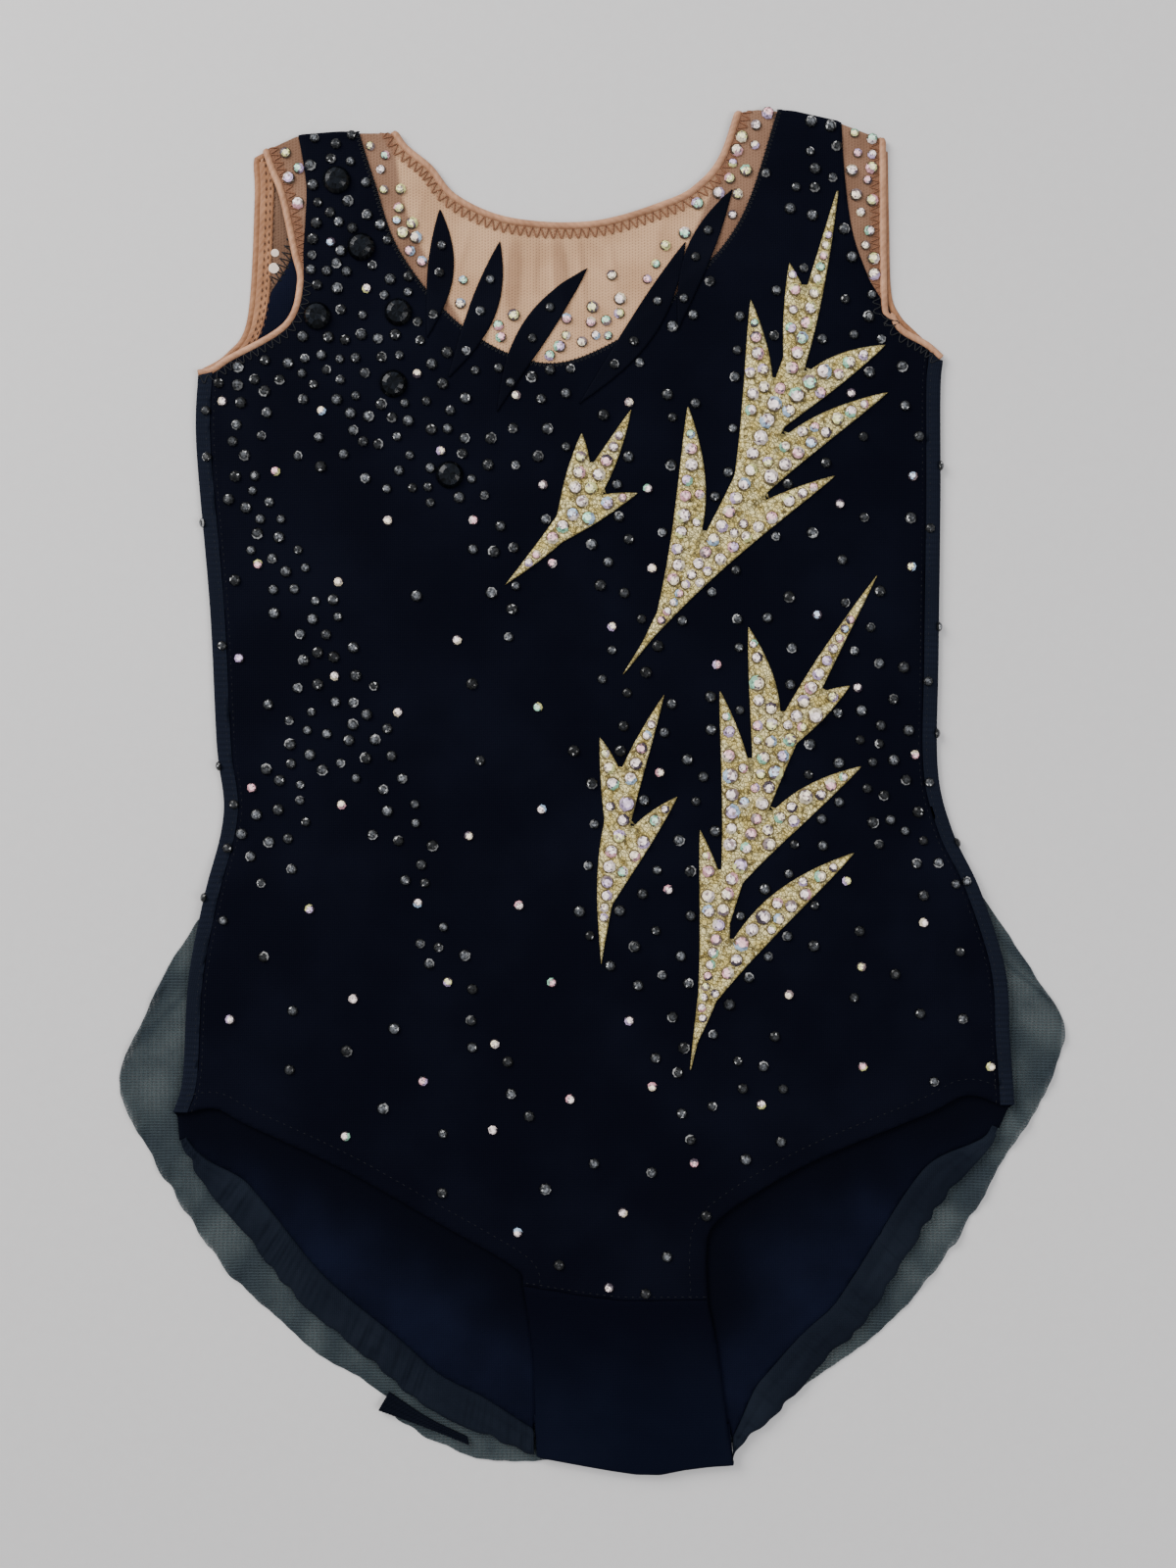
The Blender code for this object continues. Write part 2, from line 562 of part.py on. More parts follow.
def side_seam(side, way, top, bottom):
    y = np.linspace(top, bottom, int((top - bottom) / OUTLINE_STEP))
    return np.column_stack([side(y) - way * FLANGE, y])


def flange_edge(side, way, top_line, bottom):
    """The back's edge round one side, in its pattern: up the flange, then in along the armhole."""
    reach = pi * FOLD_MID + FLANGE - FOLD_OUT
    out = np.array([0.0, 0.25, 0.6, 1.0]) * reach
    y_top = top_line[-1, 1]
    beyond = np.maximum(out - pi * FOLD_MID, 0)
    laid = side(y_top) - way * (FOLD_OUT * (1 - np.sin(np.clip(out / FOLD_MID, 0, pi))) + beyond)
    y = np.minimum(height_of(top_line[-5:])(laid), y_top + FLANGE) - 2 * HALF_SEAM
    top = np.column_stack([side(y) - way * (FOLD_OUT - out), y])
    down = np.linspace(y[-1], bottom, int((y[-1] - bottom) / OUTLINE_STEP))[1:]
    edge = np.column_stack([side(down) - way * (FOLD_OUT - reach), down])
    foot = [side(bottom) - way * FOLD_OUT, bottom]
    return np.vstack([top, edge, foot])


def hem_lines(points, way, end_width, end_x):
    """A hem's outer edge and its seam to the back, from the side to the crotch."""
    outer = curve(points, 5.0)
    length = np.linspace(0, 1, len(outer)) * 5.0 * (len(outer) - 1)
    width = HEM_START_WIDTH + (HEM_WIDTH - HEM_START_WIDTH) * smoothstep(length / HEM_TAPER)
    width += (end_width - HEM_WIDTH) * smoothstep((length - length[-1] + HEM_TAPER) / HEM_TAPER)
    inner = sideways(outer, -way * width)
    inner[:, 0] = way * np.maximum(way * inner[:, 0], way * end_x)
    return outer, inner


# Pieces of the front

def build_front():
    neck = to_shoulders(NECK_FRONT, front_end)
    neck_seam = sideways(neck, -BINDING_WIDTH)
    arm_left = from_shoulder(ARMHOLE_FRONT_LEFT, front_end)
    arm_left_seam = sideways(arm_left, BINDING_WIDTH)
    arm_right = from_shoulder(ARMHOLE_FRONT_RIGHT, front_end)
    arm_right_seam = sideways(arm_right, -BINDING_WIDTH)
    meet_left = nearest(arm_left_seam, Spot(-105.8, 186.0))
    meet_right = nearest(arm_right_seam, Spot(105.3, 179.0))
    band_left = np.vstack([from_shoulder(BAND_FRONT_LEFT, front_end), arm_left_seam[meet_left]])
    band_right = np.vstack([from_shoulder(BAND_FRONT_RIGHT, front_end), arm_right_seam[meet_right]])
    yoke = to_shoulders(YOKE_FRONT, front_end)
    under_left = cut_at_seam(arm_left_seam[meet_left:], side_left, -1)
    under_right = cut_at_seam(arm_right_seam[meet_right:], side_right, 1)
    seam_left = side_seam(side_left, -1, under_left[-1, 1], LEG_FRONT_LEFT[0].y)
    seam_right = side_seam(side_right, 1, under_right[-1, 1], LEG_FRONT_RIGHT[0].y)
    gusset_seam = curve(GUSSET_SEAM)
    body = ring(under_left[::-1], band_left[::-1], across(band_left[0, 0], yoke[0, 0], front_end), yoke,
                across(yoke[-1, 0], band_right[0, 0], front_end), band_right, under_right, seam_right,
                curve(LEG_FRONT_RIGHT), gusset_seam[::-1], curve(LEG_FRONT_LEFT)[::-1], seam_left[::-1])
    creases = crease_rows()
    rows_left, rows_right = shoulder_rows(-130.0, -65.0), shoulder_rows(45.0, 115.0)
    cloth("front_body", [body], lay_front, BLACK, rows_left + rows_right + lift_rows() + creases)
    yoke_loop = ring(yoke, across(yoke[-1, 0], neck_seam[-1, 0], front_end), neck_seam[::-1],
                     across(neck_seam[0, 0], yoke[0, 0], front_end))
    cloth("front_yoke", [yoke_loop], lay_front, MESH, rows_left + rows_right + creases)
    strap = ring(band_left, arm_left_seam[meet_left::-1],
                 across(arm_left_seam[0, 0], band_left[0, 0], front_end))
    cloth("front_strap_outer_left", [strap], lay_front, MESH, rows_left)
    strap = ring(band_right, arm_right_seam[meet_right::-1],
                 across(arm_right_seam[0, 0], band_right[0, 0], front_end))
    cloth("front_strap_outer_right", [strap], lay_front, MESH, rows_right)
    for name, edge, seam, rows in (("neck_binding_front", neck, neck_seam, rows_left + rows_right),
                                   ("armhole_binding_front_left", arm_left, arm_left_seam, rows_left),
                                   ("armhole_binding_front_right", arm_right, arm_right_seam, rows_right)):
        cloth(name, [ring(edge, seam[::-1])], lay_front, BINDING, rows, wall=BINDING_WALL)
    left, right = curve(GUSSET_LEFT), curve(GUSSET_RIGHT)
    gusset = ring(gusset_seam, right, across(50.0, -21.5, gusset_end), left[::-1])
    cloth("gusset", [gusset], lay_front, NAVY, crotch_rows(-30.0, 60.0) + creases)


# Pieces of the back

def build_back():
    neck = to_shoulders(NECK_BACK, back_end)
    neck_seam = sideways(neck, -BINDING_WIDTH)
    arm_left = curve(ARMHOLE_BACK_LEFT)
    arm_left_seam = sideways(arm_left, BINDING_WIDTH)
    arm_right = from_shoulder(ARMHOLE_BACK_RIGHT, back_end)
    arm_right_seam = sideways(arm_right, -BINDING_WIDTH)
    meet_left = nearest(arm_left_seam, Spot(-124.0, 173.0))
    meet_right = nearest(arm_right_seam, Spot(107.0, 180.0))
    band_left = np.vstack([from_shoulder(BAND_BACK_LEFT, back_end), arm_left_seam[meet_left]])
    band_right = np.vstack([from_shoulder(BAND_BACK_RIGHT, back_end), arm_right_seam[meet_right]])
    yoke = to_shoulders(YOKE_BACK, back_end)
    leg_left, hem_left = hem_lines(LEG_BACK_LEFT, -1, 9.0, LEG_BACK_LEFT[-1].x)
    leg_right, hem_right = hem_lines(LEG_BACK_RIGHT, 1, 3.5, LEG_BACK_RIGHT[-1].x)
    flange_left = flange_edge(side_left, -1, arm_left_seam, LEG_FRONT_LEFT[0].y)
    flange_right = flange_edge(side_right, 1, arm_right_seam, LEG_FRONT_RIGHT[0].y)
    crotch = across(50.5, -21.5, crotch_seam)
    body = ring(flange_left[::-1], arm_left_seam[meet_left:][:-1][::-1], band_left[::-1],
                across(band_left[0, 0], yoke[0, 0], back_end), yoke,
                across(yoke[-1, 0], band_right[0, 0], back_end), band_right,
                arm_right_seam[meet_right:][:-1], flange_right, leg_right[:1], hem_right, crotch,
                hem_left[::-1], leg_left[:1])
    rows = side_rows(side_left, -1, 170.0, LEG_FRONT_LEFT[0].y)
    rows += side_rows(side_right, 1, 175.0, LEG_FRONT_RIGHT[0].y) + lift_rows()
    cloth("back_body", [body], lay_back, BLACK, rows, cell=BACK_CELL)
    yoke_loop = ring(yoke, across(yoke[-1, 0], neck_seam[-1, 0], back_end), neck_seam[::-1],
                     across(neck_seam[0, 0], yoke[0, 0], back_end))
    cloth("back_yoke", [yoke_loop], lay_back, MESH)
    strap = ring(band_left, arm_left_seam[1:meet_left + 1][::-1],
                 across(arm_left_seam[0, 0], band_left[0, 0], back_end))
    cloth("back_strap_outer_left", [strap], lay_back, MESH)
    strap = ring(band_right, arm_right_seam[meet_right::-1],
                 across(arm_right_seam[0, 0], band_right[0, 0], back_end))
    cloth("back_strap_outer_right", [strap], lay_back, MESH)
    for name, edge, seam in (("neck_binding_back", neck, neck_seam),
                             ("armhole_binding_back_left", arm_left, arm_left_seam),
                             ("armhole_binding_back_right", arm_right, arm_right_seam)):
        cloth(name, [ring(edge, seam[::-1])], lay_flat, BINDING, wall=BINDING_WALL)
    build_hem("leg_hem_left", leg_left, hem_left, HEM_WAVES_LEFT, -1)
    build_hem("leg_hem_right", leg_right, hem_right, HEM_WAVES_RIGHT, 1)


def lay_flat(x, y, out):
    return np.column_stack([x, y, lift(y) + out])


def build_hem(name, outer, inner, waves, way):
    """A gathered elastic hem: level underneath, with uneven ruffle ridges across its top."""
    def lay(u, v, w):
        edge, seam = along(outer, u), along(inner, u)
        width = np.linalg.norm(seam - edge, axis=1)
        shift = sum(far * np.sin(2 * pi * slow * u + way) for slow, far in HEM_UNEVEN)
        phase = 2 * pi * (waves * u + shift)
        wobble = HEM_WOBBLE * 0.5 * (1 - np.cos(phase)) * (1 - v)
        part = v * (1 - HALF_SEAM / width) + wobble / width * (1 - v)
        place = edge + (seam - edge) * part[:, None]
        height = 0.6 + 0.4 * np.sin(2 * pi * HEM_SWELL * u + way)
        ruffle = HEM_RUFFLE * height * 0.5 * (1 + np.cos(phase)) * np.sin(pi * np.clip(0.12 + 0.8 * v, 0, 1))
        z = LIFT + w * (HEM_WALL + ruffle)
        return np.column_stack([place, z])

    strip(name, waves * 4, 3, lay, NAVY)


# The skirt and the elastic's strip that comes out beside it

def build_skirt():
    hem, seam = curve(SKIRT_HEM, 4.0), curve(SKIRT_SEAM)

    def lay(u, v, w):
        rim, root = along(hem, u), along(seam, u)
        part = 1 - (1 - v) ** 2
        place = root + (rim - root) * part[:, None]
        from_rim = np.linalg.norm(rim - place, axis=1)
        beside = smoothstep((np.abs(rim[:, 0]) - SKIRT_FREE_X[0]) / (SKIRT_FREE_X[1] - SKIRT_FREE_X[0]))
        below = smoothstep((SKIRT_FREE_Y[0] - rim[:, 1]) / (SKIRT_FREE_Y[0] - SKIRT_FREE_Y[1]))
        shown = beside * below * smoothstep(1 - from_rim / SKIRT_RIM)
        wave = 0.5 * (1 + np.sin(2 * pi * (SKIRT_RIPPLES * u + 0.4 * np.sin(2 * pi * 4.3 * u))))
        return np.column_stack([place, w * CLOTH + SKIRT_RIPPLE * shown * wave])

    strip("skirt", SKIRT_STATIONS, SKIRT_ROWS, lay, SHEER)


def build_elastic_strip():
    near, far = curve(STRIP_NEAR), curve(STRIP_FAR)

    def lay(u, v, w):
        place = along(near, u) * (1 - v)[:, None] + along(far, u) * v[:, None]
        rib = STRIP_RIB * (1 - np.cos(6 * pi * v)) / 2
        return np.column_stack([place, LIFT + w * (CLOTH + rib)])

    strip("skirt_edge_fold", 8, 6, lay, BLACK)


# What lies on the front

def leaf_outline(x0, y0, x1, y1, width, bend):
    """A willow leaf from base to tip: pointed at both ends, its spine bowed to one side."""
    t = np.linspace(0, 1, 11)
    start, run = np.array([x0, y0]), np.array([x1 - x0, y1 - y0])
    side = np.array([-run[1], run[0]]) / np.linalg.norm(run)
    spine = start + run * t[:, None] + side * (bend * np.sin(pi * t))[:, None]
    half = width / 2 * np.sin(pi * t ** LEAF_FULLEST) ** 0.9
    half[[0, -1]] = 0
    return ring(sideways(spine, half)[:-1], sideways(spine, -half)[:0:-1])


def build_spray(stem):
    """A stem with slender leaves to both sides, cut as one piece of gold lace."""
    start, run = np.array([stem.x0, stem.y0]), np.array([stem.x1 - stem.x0, stem.y1 - stem.y0])
    side = np.array([-run[1], run[0]]) / np.linalg.norm(run)
    heading = np.arctan2(run[1], run[0])
    loops = [leaf_outline(stem.x0, stem.y0, stem.x1, stem.y1, stem.width, stem.bend)]
    for leaf in stem.leaves:
        base = start + run * leaf.at + side * stem.bend * sin(pi * leaf.at)
        angle = heading + leaf.side * radians(leaf.angle)
        tip = base + leaf.length * np.array([cos(angle), sin(angle)])
        loops.append(leaf_outline(*base, *tip, leaf.width, -leaf.side * leaf.length * 0.08))
    cloth(stem.name, loops, lay_on_front(TRIM_GAP), GOLD, crease_rows(), TRIM_CELL)


def build_yoke_leaves():
    for number, leaf in enumerate(YOKE_LEAVES, start=1):
        outline = leaf_outline(*leaf)
        cloth(f"yoke_leaf_{number}", [outline], lay_on_front(TRIM_GAP), BLACK, crease_rows(), TRIM_CELL)


def build_large_stones():
    turn = np.linspace(0, 2 * pi, STONE_SIDES, endpoint=False)
    for number, spot in enumerate(LARGE_STONES, start=1):
        x, y = spot.x + STONE_RADIUS * np.cos(turn), spot.y + STONE_RADIUS * np.sin(turn)
        base = float(front_height(x, y).max()) + CLOTH + TRIM_GAP
        bm = bmesh.new()
        bmesh.ops.create_cone(bm, cap_ends=True, segments=STONE_SIDES, radius1=STONE_RADIUS,
                              radius2=STONE_TABLE, depth=STONE_HEIGHT)
        bmesh.ops.translate(bm, verts=bm.verts, vec=(spot.x, spot.y, base + STONE_HEIGHT / 2))
        add_piece(f"large_stone_{number}", bm, STONE)


def main():
    for old in list(bpy.data.objects):
        bpy.data.objects.remove(old, do_unlink=True)
    collection = bpy.data.collections.new("leotard")
    bpy.context.scene.collection.children.link(collection)
    build_front()
    build_back()
    build_skirt()
    build_elastic_strip()
    for stem in GOLD_SPRAYS:
        build_spray(stem)
    build_yoke_leaves()
    build_large_stones()


main()
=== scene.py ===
"""A child's rhythmic gymnastics leotard, laid flat, as it looks from above.

Shapes are worked out in millimetres on the flat patterns of the cut pieces and then laid in their
places: X across the garment, Y towards the neck, Z up from the table. A pattern place is the pair
(x, y), and "out" is how far a point stands from the underside of its cloth.
"""
from collections import namedtuple
from math import cos, pi, radians, sin

import bpy
import numpy as np
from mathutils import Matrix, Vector


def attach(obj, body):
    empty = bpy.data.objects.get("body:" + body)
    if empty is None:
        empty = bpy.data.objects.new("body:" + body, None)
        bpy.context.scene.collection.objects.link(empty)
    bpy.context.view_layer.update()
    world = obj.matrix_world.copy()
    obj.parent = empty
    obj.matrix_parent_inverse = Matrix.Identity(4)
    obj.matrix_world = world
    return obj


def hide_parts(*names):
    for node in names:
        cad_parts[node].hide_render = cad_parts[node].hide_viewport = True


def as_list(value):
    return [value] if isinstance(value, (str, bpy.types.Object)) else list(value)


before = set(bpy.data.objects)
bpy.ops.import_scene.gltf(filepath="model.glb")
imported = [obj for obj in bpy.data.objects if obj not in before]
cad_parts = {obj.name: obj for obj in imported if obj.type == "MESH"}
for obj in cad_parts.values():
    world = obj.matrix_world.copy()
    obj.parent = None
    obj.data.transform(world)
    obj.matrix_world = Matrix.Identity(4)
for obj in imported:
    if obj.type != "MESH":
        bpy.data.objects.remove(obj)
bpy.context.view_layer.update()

METRE = 1000.0

# Cloth and how its layers lie
CLOTH = 1.0
FOLD_OUT = 1.3                    # outer radius of a fold
FOLD_MID = FOLD_OUT - CLOTH / 2   # radius that keeps the pattern's length round a fold
FRONT_LEVEL = 1.6                 # underside of the front above the back's underside
FLANGE = 5.5                      # how far the back comes round each side onto the front
SHOULDER_TAIL = 3.0
CROTCH_TAIL = 14.0
BINDING_WIDTH = 2.6
BINDING_WALL = 1.25
TURNED_WIDTH = 3.2                # the mesh's turned-in edge beside its binding
FACING_WIDTH = 7.2                # the left back armhole's binding, turned in flat
FACING_NARROWS = 2.6              # how much narrower it is at its lower end
FACING_LAP = 0.7                  # how far it lies under the binding's inner edge
FACING_WALL = 0.45
FACING_UNDER = 0.72
FACING_GROOVE = 0.625             # where it is sewn down, as a share of its width
LIFT = 1.3                        # the body's underside over the skirt
LIFT_FROM = -18.0
LIFT_FULL = -34.0
CROWN = 1.7                       # soft rise of the front away from its edges
CROWN_RUN = 60.0
FOLD_FADE = 14.0
MESH_TOP = 0.34                   # the thin mesh lies under the black cloth's edge
BLACK_UNDER = 0.38
TRIM_UNDER = 1.04                 # underside of the gold and of the leaf points on black cloth
TRIM_WALL = 0.5
STITCH_SINK = 0.1                 # how far a stitch sinks into the cloth
BACK_WALL = 0.9
BACK_MESH_WALL = 0.7

# Moves the outlines so that the origin is under the middle of the whole garment
CENTRE = np.array([0.46, 1.2, 0.0])

Spot = namedtuple("Spot", "x y")
Crease = namedtuple("Crease", "x0 y0 x1 y1 half_width height")
Leaf = namedtuple("Leaf", "at side length width angle")
Stem = namedtuple("Stem", "name spine leaves")
Point = namedtuple("Point", "x0 y0 x1 y1 width bend")
Drift = namedtuple("Drift", "x0 y0 x1 y1 half_width spacing")


def every(kind, *rows):
    """One item of a kind from each row of numbers."""
    return [kind(*map(float, row)) for row in rows]


def spots(*pairs):
    return every(Spot, *pairs)


# Outer outline of the body, each side from the underarm down
SIDE_LEFT = spots((-144.7, 153), (-145.4, 125.6), (-140.4, 66.2), (-137.9, 15.8), (-135.4, -10),
                  (-142.7, -41.8), (-148, -70.6), (-150.1, -106.6), (-154.1, -119.9))
SIDE_RIGHT = spots((128.5, 158.4), (127.4, 145.4), (127.4, 106.9), (126.7, 49), (126.4, 7.2),
                   (131.8, -15.8), (141.8, -37.8), (150.8, -66.2), (152.5, -91.4), (154.1, -114.5))
SHOULDER_FOLD = spots((-124.6, 230), (-120.5, 233.8), (-108.7, 239.3), (-93.6, 240.5), (-73.4, 240.5),
                      (53.3, 248), (60.1, 249.1), (73.4, 248.1), (90, 244.4), (107.3, 237.7))
CROTCH_FOLD = spots((-20.5, -244.8), (9.7, -250.2), (23.4, -251.3), (37.1, -248.8), (51.5, -247.7))

# Front edges, from the shoulder down or from the side inwards
NECK_FRONT = spots((-73.4, 240.5), (-68.4, 236), (-58.8, 227.9), (-49.3, 216.9), (-29.5, 208.8), (0, 207.7),
                   (27, 215.4), (38, 221.5), (46.4, 231.8), (53.3, 248))
ARMHOLE_FRONT_LEFT = spots((-122.2, 232.2), (-118.4, 225.4), (-114.9, 216.4), (-110.4, 195.6),
                           (-108.4, 185), (-113.4, 170.3), (-133.9, 158.2), (-139.7, 154.2),
                           (-144.7, 153.2))
ARMHOLE_FRONT_RIGHT = spots((107.3, 237.7), (107.8, 179.8), (110.2, 174), (114.1, 168.3), (122.8, 163.4),
                            (128.5, 158.4))
LEG_FRONT_LEFT = spots((-148.2, -118.4), (-137.7, -117.1), (-126.7, -122.8), (-91.8, -139), (-63, -155.2),
                       (-28.8, -175), (-25.4, -181.8))
LEG_FRONT_RIGHT = spots((148.5, -115.6), (136.3, -112.2), (122, -119), (83.2, -135), (59.4, -148),
                        (44, -159.5), (41.3, -170), (41.8, -187))
GUSSET_LEFT = spots((-25.4, -181.8), (-22, -204.8), (-21.3, -220), (-20.5, -244.8))
GUSSET_RIGHT = spots((41.8, -187), (45.3, -204.8), (49.3, -234.7), (51.5, -247.7))
GUSSET_TAIL = (50.0, -21.5)       # the ends of the gusset's tail, and of the back's seam over it
CROTCH_SEAM = (50.5, -21.5)
CROTCH_CORNER = spots((51.6, -246.2))
GUSSET_SEAM = spots((-25.4, -181.8), (8, -186.5), (41.8, -187))

# Back edges
NECK_BACK = spots((-73.4, 240.5), (-66, 205), (-38, 155), (-18, 142), (3, 150), (25, 180), (42, 215),
                  (53.3, 248))
SHOULDER_CORNER = spots((-120.3, 233.4), (-123.2, 231.9))
ARMHOLE_BACK_LEFT = spots((-124.6, 229.5), (-124.3, 214.2), (-126.9, 172.4), (-134.6, 159.5),
                          (-144.7, 153.2))
ARMHOLE_BACK_RIGHT = spots((108.3, 237.2), (108.8, 205), (109.6, 182), (112.8, 173.5), (118.5, 167.5),
                           (128.5, 158.4))
LEG_BACK_LEFT = spots((-151.4, -129.2), (-143.4, -144), (-127.9, -163.1), (-106.9, -188.6), (-79.2, -211.7),
                      (-59.4, -227.9), (-21.6, -244.7))
LEG_BACK_RIGHT = spots((148.7, -124.6), (144.5, -132.5), (126.7, -153.4), (107.3, -184.3), (96.8, -199.1),
                       (85.3, -209.5), (69.8, -226.8), (52.4, -242.4))

# Seams between the black cloth and the skin-coloured mesh, from the shoulder down
BAND_FRONT_LEFT = spots((-108.7, 239), (-105, 222), (-105.2, 208), (-106, 196))
BAND_FRONT_RIGHT = spots((90.7, 242), (92, 225), (95, 203), (101, 186))
YOKE_FRONT = spots((-87.1, 240), (-80, 222), (-70, 195), (-47, 168), (-18, 155), (8, 163), (32, 182),
                   (54, 208), (69.1, 247))
BAND_BACK_LEFT = spots((-109, 237), (-107, 212), (-110.5, 195), (-118, 182))
BAND_BACK_RIGHT = spots((90.7, 242), (92, 212), (96, 190))
YOKE_BACK = spots((-87, 240), (-82, 205), (-62, 163), (-40, 138), (-18, 127), (8, 134), (36, 163),
                  (58, 203), (69, 247))

# The skirt, from its left corner round the bottom to its right corner
SKIRT_HEM = spots((-144.4, -47.9), (-156.6, -67), (-164.2, -83.2), (-173.5, -105.1), (-168.1, -123.1),
                  (-155.5, -145.4), (-136.8, -173.9), (-127.4, -183.2), (-103.3, -205.9), (-77, -222.1),
                  (-70.2, -232.6), (-42.5, -245.5), (-6.5, -246.2), (34.2, -245.9), (48.6, -241.6),
                  (85.3, -213.5), (106.2, -198.7), (129, -172), (148.7, -140), (164.5, -113.8),
                  (172.8, -88.2), (164.5, -72.4), (148.7, -48.2), (141.5, -37.5))
SKIRT_SEAM = spots((-139, -47.5), (0, -45), (137, -38.5))
SKIRT_WALL = 0.6
SKIRT_RIPPLE = 1.1
SKIRT_RIPPLES = 34
SKIRT_RIM = 7.0

# Where the net laps over itself: its place along the hem, half width, slant and depth
NET_LAPS = ((0.045, 0.012, 0.05, 0.9), (0.092, 0.006, -0.03, 0.6), (0.150, 0.016, 0.06, 1.0),
            (0.205, 0.007, 0.02, 0.7), (0.247, 0.013, 0.08, 1.0), (0.292, 0.006, 0.05, 0.8),
            (0.322, 0.009, -0.04, 0.9), (0.360, 0.014, 0.04, 0.7), (0.690, 0.012, 0.05, 0.8),
            (0.735, 0.007, -0.04, 0.6), (0.790, 0.018, 0.05, 0.8), (0.842, 0.006, 0.03, 0.7),
            (0.880, 0.010, -0.03, 0.8), (0.918, 0.005, 0.04, 0.6), (0.950, 0.012, 0.03, 0.8))

# Ruffled elastic hems on the back's leg edges
HEM_WIDTH = 13.0
HEM_START_WIDTH = 3.0
HEM_TAPER = 30.0
HEM_WALL = 1.4
HEM_RUFFLE = 1.1
HEM_WOBBLE = 0.9
SCALLOPS = 11
HEM_END_LEFT = 9.0                # a hem's width at the crotch
HEM_END_RIGHT = 3.0
HEM_STOP = 51.2                   # how far in the right hem reaches there

# Main creases of the front, as in its solid
FRONT_CREASES = every(Crease, (140, -36, 147, -104, 2.6, 1), (132, -30, 139, -92, 3.2, 1.1),
                      (123, -42, 128, -101, 3, 0.7), (-131, 146, -112, 96, 4, 0.9),
                      (-122, 152, -98, 120, 4, 0.7), (-13, 203, -10, 168, 2.4, 0.7),
                      (-28, 203, -30, 170, 2.6, 0.6), (2, -196, 10, -236, 4, 0.8))

# Softer folds that only the cloth shows: troughs have a negative height
SOFT_FOLDS = every(Crease, (145, -58, 149, -96, 1.4, 0.35), (136, -50, 142, -98, 1.6, -0.30),
                   (117, -70, 126, -108, 2.4, 0.40), (104, -84, 118, -112, 3, 0.30),
                   (-132, -106, -96, -124, 2.4, 0.55), (-110, -122, -70, -142, 2, 0.40),
                   (62, -138, 112, -114, 2.2, 0.45), (-142, 60, -128, 4, 2.2, 0.35),
                   (-138, 128, -126, 84, 1.8, 0.40), (121, 120, 118, 60, 2.2, 0.35),
                   (114, 168, 100, 140, 2.6, 0.45), (118, 40, 112, -8, 2.4, 0.30),
                   (-20, 204, -21, 178, 1.3, 0.28), (-5, 205, -2, 172, 1.5, 0.32),
                   (6, 206, 10, 176, 1.3, 0.25), (26, 210, 22, 186, 1.4, 0.22),
                   (-44, 206, -50, 184, 1.4, 0.24), (-60, 222, -66, 200, 1.3, 0.22),
                   (-12, -192, 26, -210, 2.6, 0.45), (-14, -206, 34, -226, 3, 0.40),
                   (-8, -224, 40, -240, 2.6, 0.45), (22, -190, 38, -214, 2.2, 0.35),
                   (-40, -20, -20, -96, 5, 0.35), (48, 30, 58, -60, 6, 0.30), (-84, 90, -60, 10, 6, 0.35),
                   (-20, 132, 2, 60, 5, 0.35))

# Wrinkles of the back that show inside the leg openings
BACK_FOLDS = every(Crease, (-120, -132, -92, -170, 3.2, 0.50), (-104, -140, -66, -190, 3.6, 0.45),
                   (-84, -158, -52, -214, 3, 0.55), (-64, -172, -36, -226, 2.6, 0.45),
                   (-44, -182, -30, -224, 2.6, 0.50), (62, -150, 92, -186, 3.2, 0.45),
                   (82, -142, 108, -166, 3, 0.50), (52, -166, 70, -212, 2.8, 0.50),
                   (112, -126, 126, -142, 2.4, 0.40), (46, -190, 56, -222, 2.4, 0.40))

# Slender leaves of gold lace on their stems
LEAF_FULLEST = 1.1                # over 0.8 a leaf is widest near its tip, under it near its base
LEAF_BOW = 0.08                   # how far a leaf bows, as a share of its length
GOLD_SPRAYS = [
    Stem("gold_spray_upper", Point(10, 40, 90, 221, 9.5, -13),
         every(Leaf, (0.05, -1, 98, 11.5, 24), (0.10, 1, 84, 11, 15), (0.28, -1, 88, 11.5, 25),
               (0.36, 1, 78, 11, 18), (0.50, -1, 58, 11, 27), (0.60, 1, 48, 10, 21))),
    Stem("gold_spray_lower", Point(35, -105, 104, 78, 10, 12),
         every(Leaf, (0.05, 1, 80, 11, 19), (0.10, -1, 84, 11.5, 22), (0.27, 1, 88, 11.5, 20),
               (0.33, -1, 70, 11, 25), (0.50, 1, 68, 11, 22), (0.60, -1, 40, 9.5, 24))),
    Stem("gold_spray_left", Point(3, -64, 26, 34, 9.5, 6),
         every(Leaf, (0.16, -1, 52, 9.5, 18), (0.34, 1, 48, 9, 17))),
    Stem("gold_spray_small", Point(-32, 74, 14, 138, 9, -5),
         every(Leaf, (0.16, -1, 46, 9.5, 22), (0.30, 1, 40, 9, 20))),
]

YOKE_LEAVES = every(Point, (-60.5, 164, -56, 212, 9.5, -2.5), (-53, 149, -34, 200, 10, -3),
                    (-35, 137, -2, 190, 10.5, 4), (-5, 140, 34, 200, 10.5, -4), (31, 167, 51, 219, 9.5, 3))

LARGE_STONES = spots((-93.6, 222), (-84.6, 197.5), (-100.8, 172.5), (-71, 173.5), (-72.7, 147.3),
                     (-52.2, 114.1))
LARGE_RADIUS = 5.0

# The back's elastic, seen as a ribbed strip where it comes out past the left hem
STRIP_NEAR = spots((-74.6, -221.2), (-60.5, -230.6), (-46, -237.6))
STRIP_FAR = spots((-78.5, -227.8), (-60.8, -234.2), (-45.4, -240.4))


# Curves and outlines in the plane

def smoothstep(value):
    t = np.clip(value, 0.0, 1.0)
    return t * t * (3.0 - 2.0 * t)


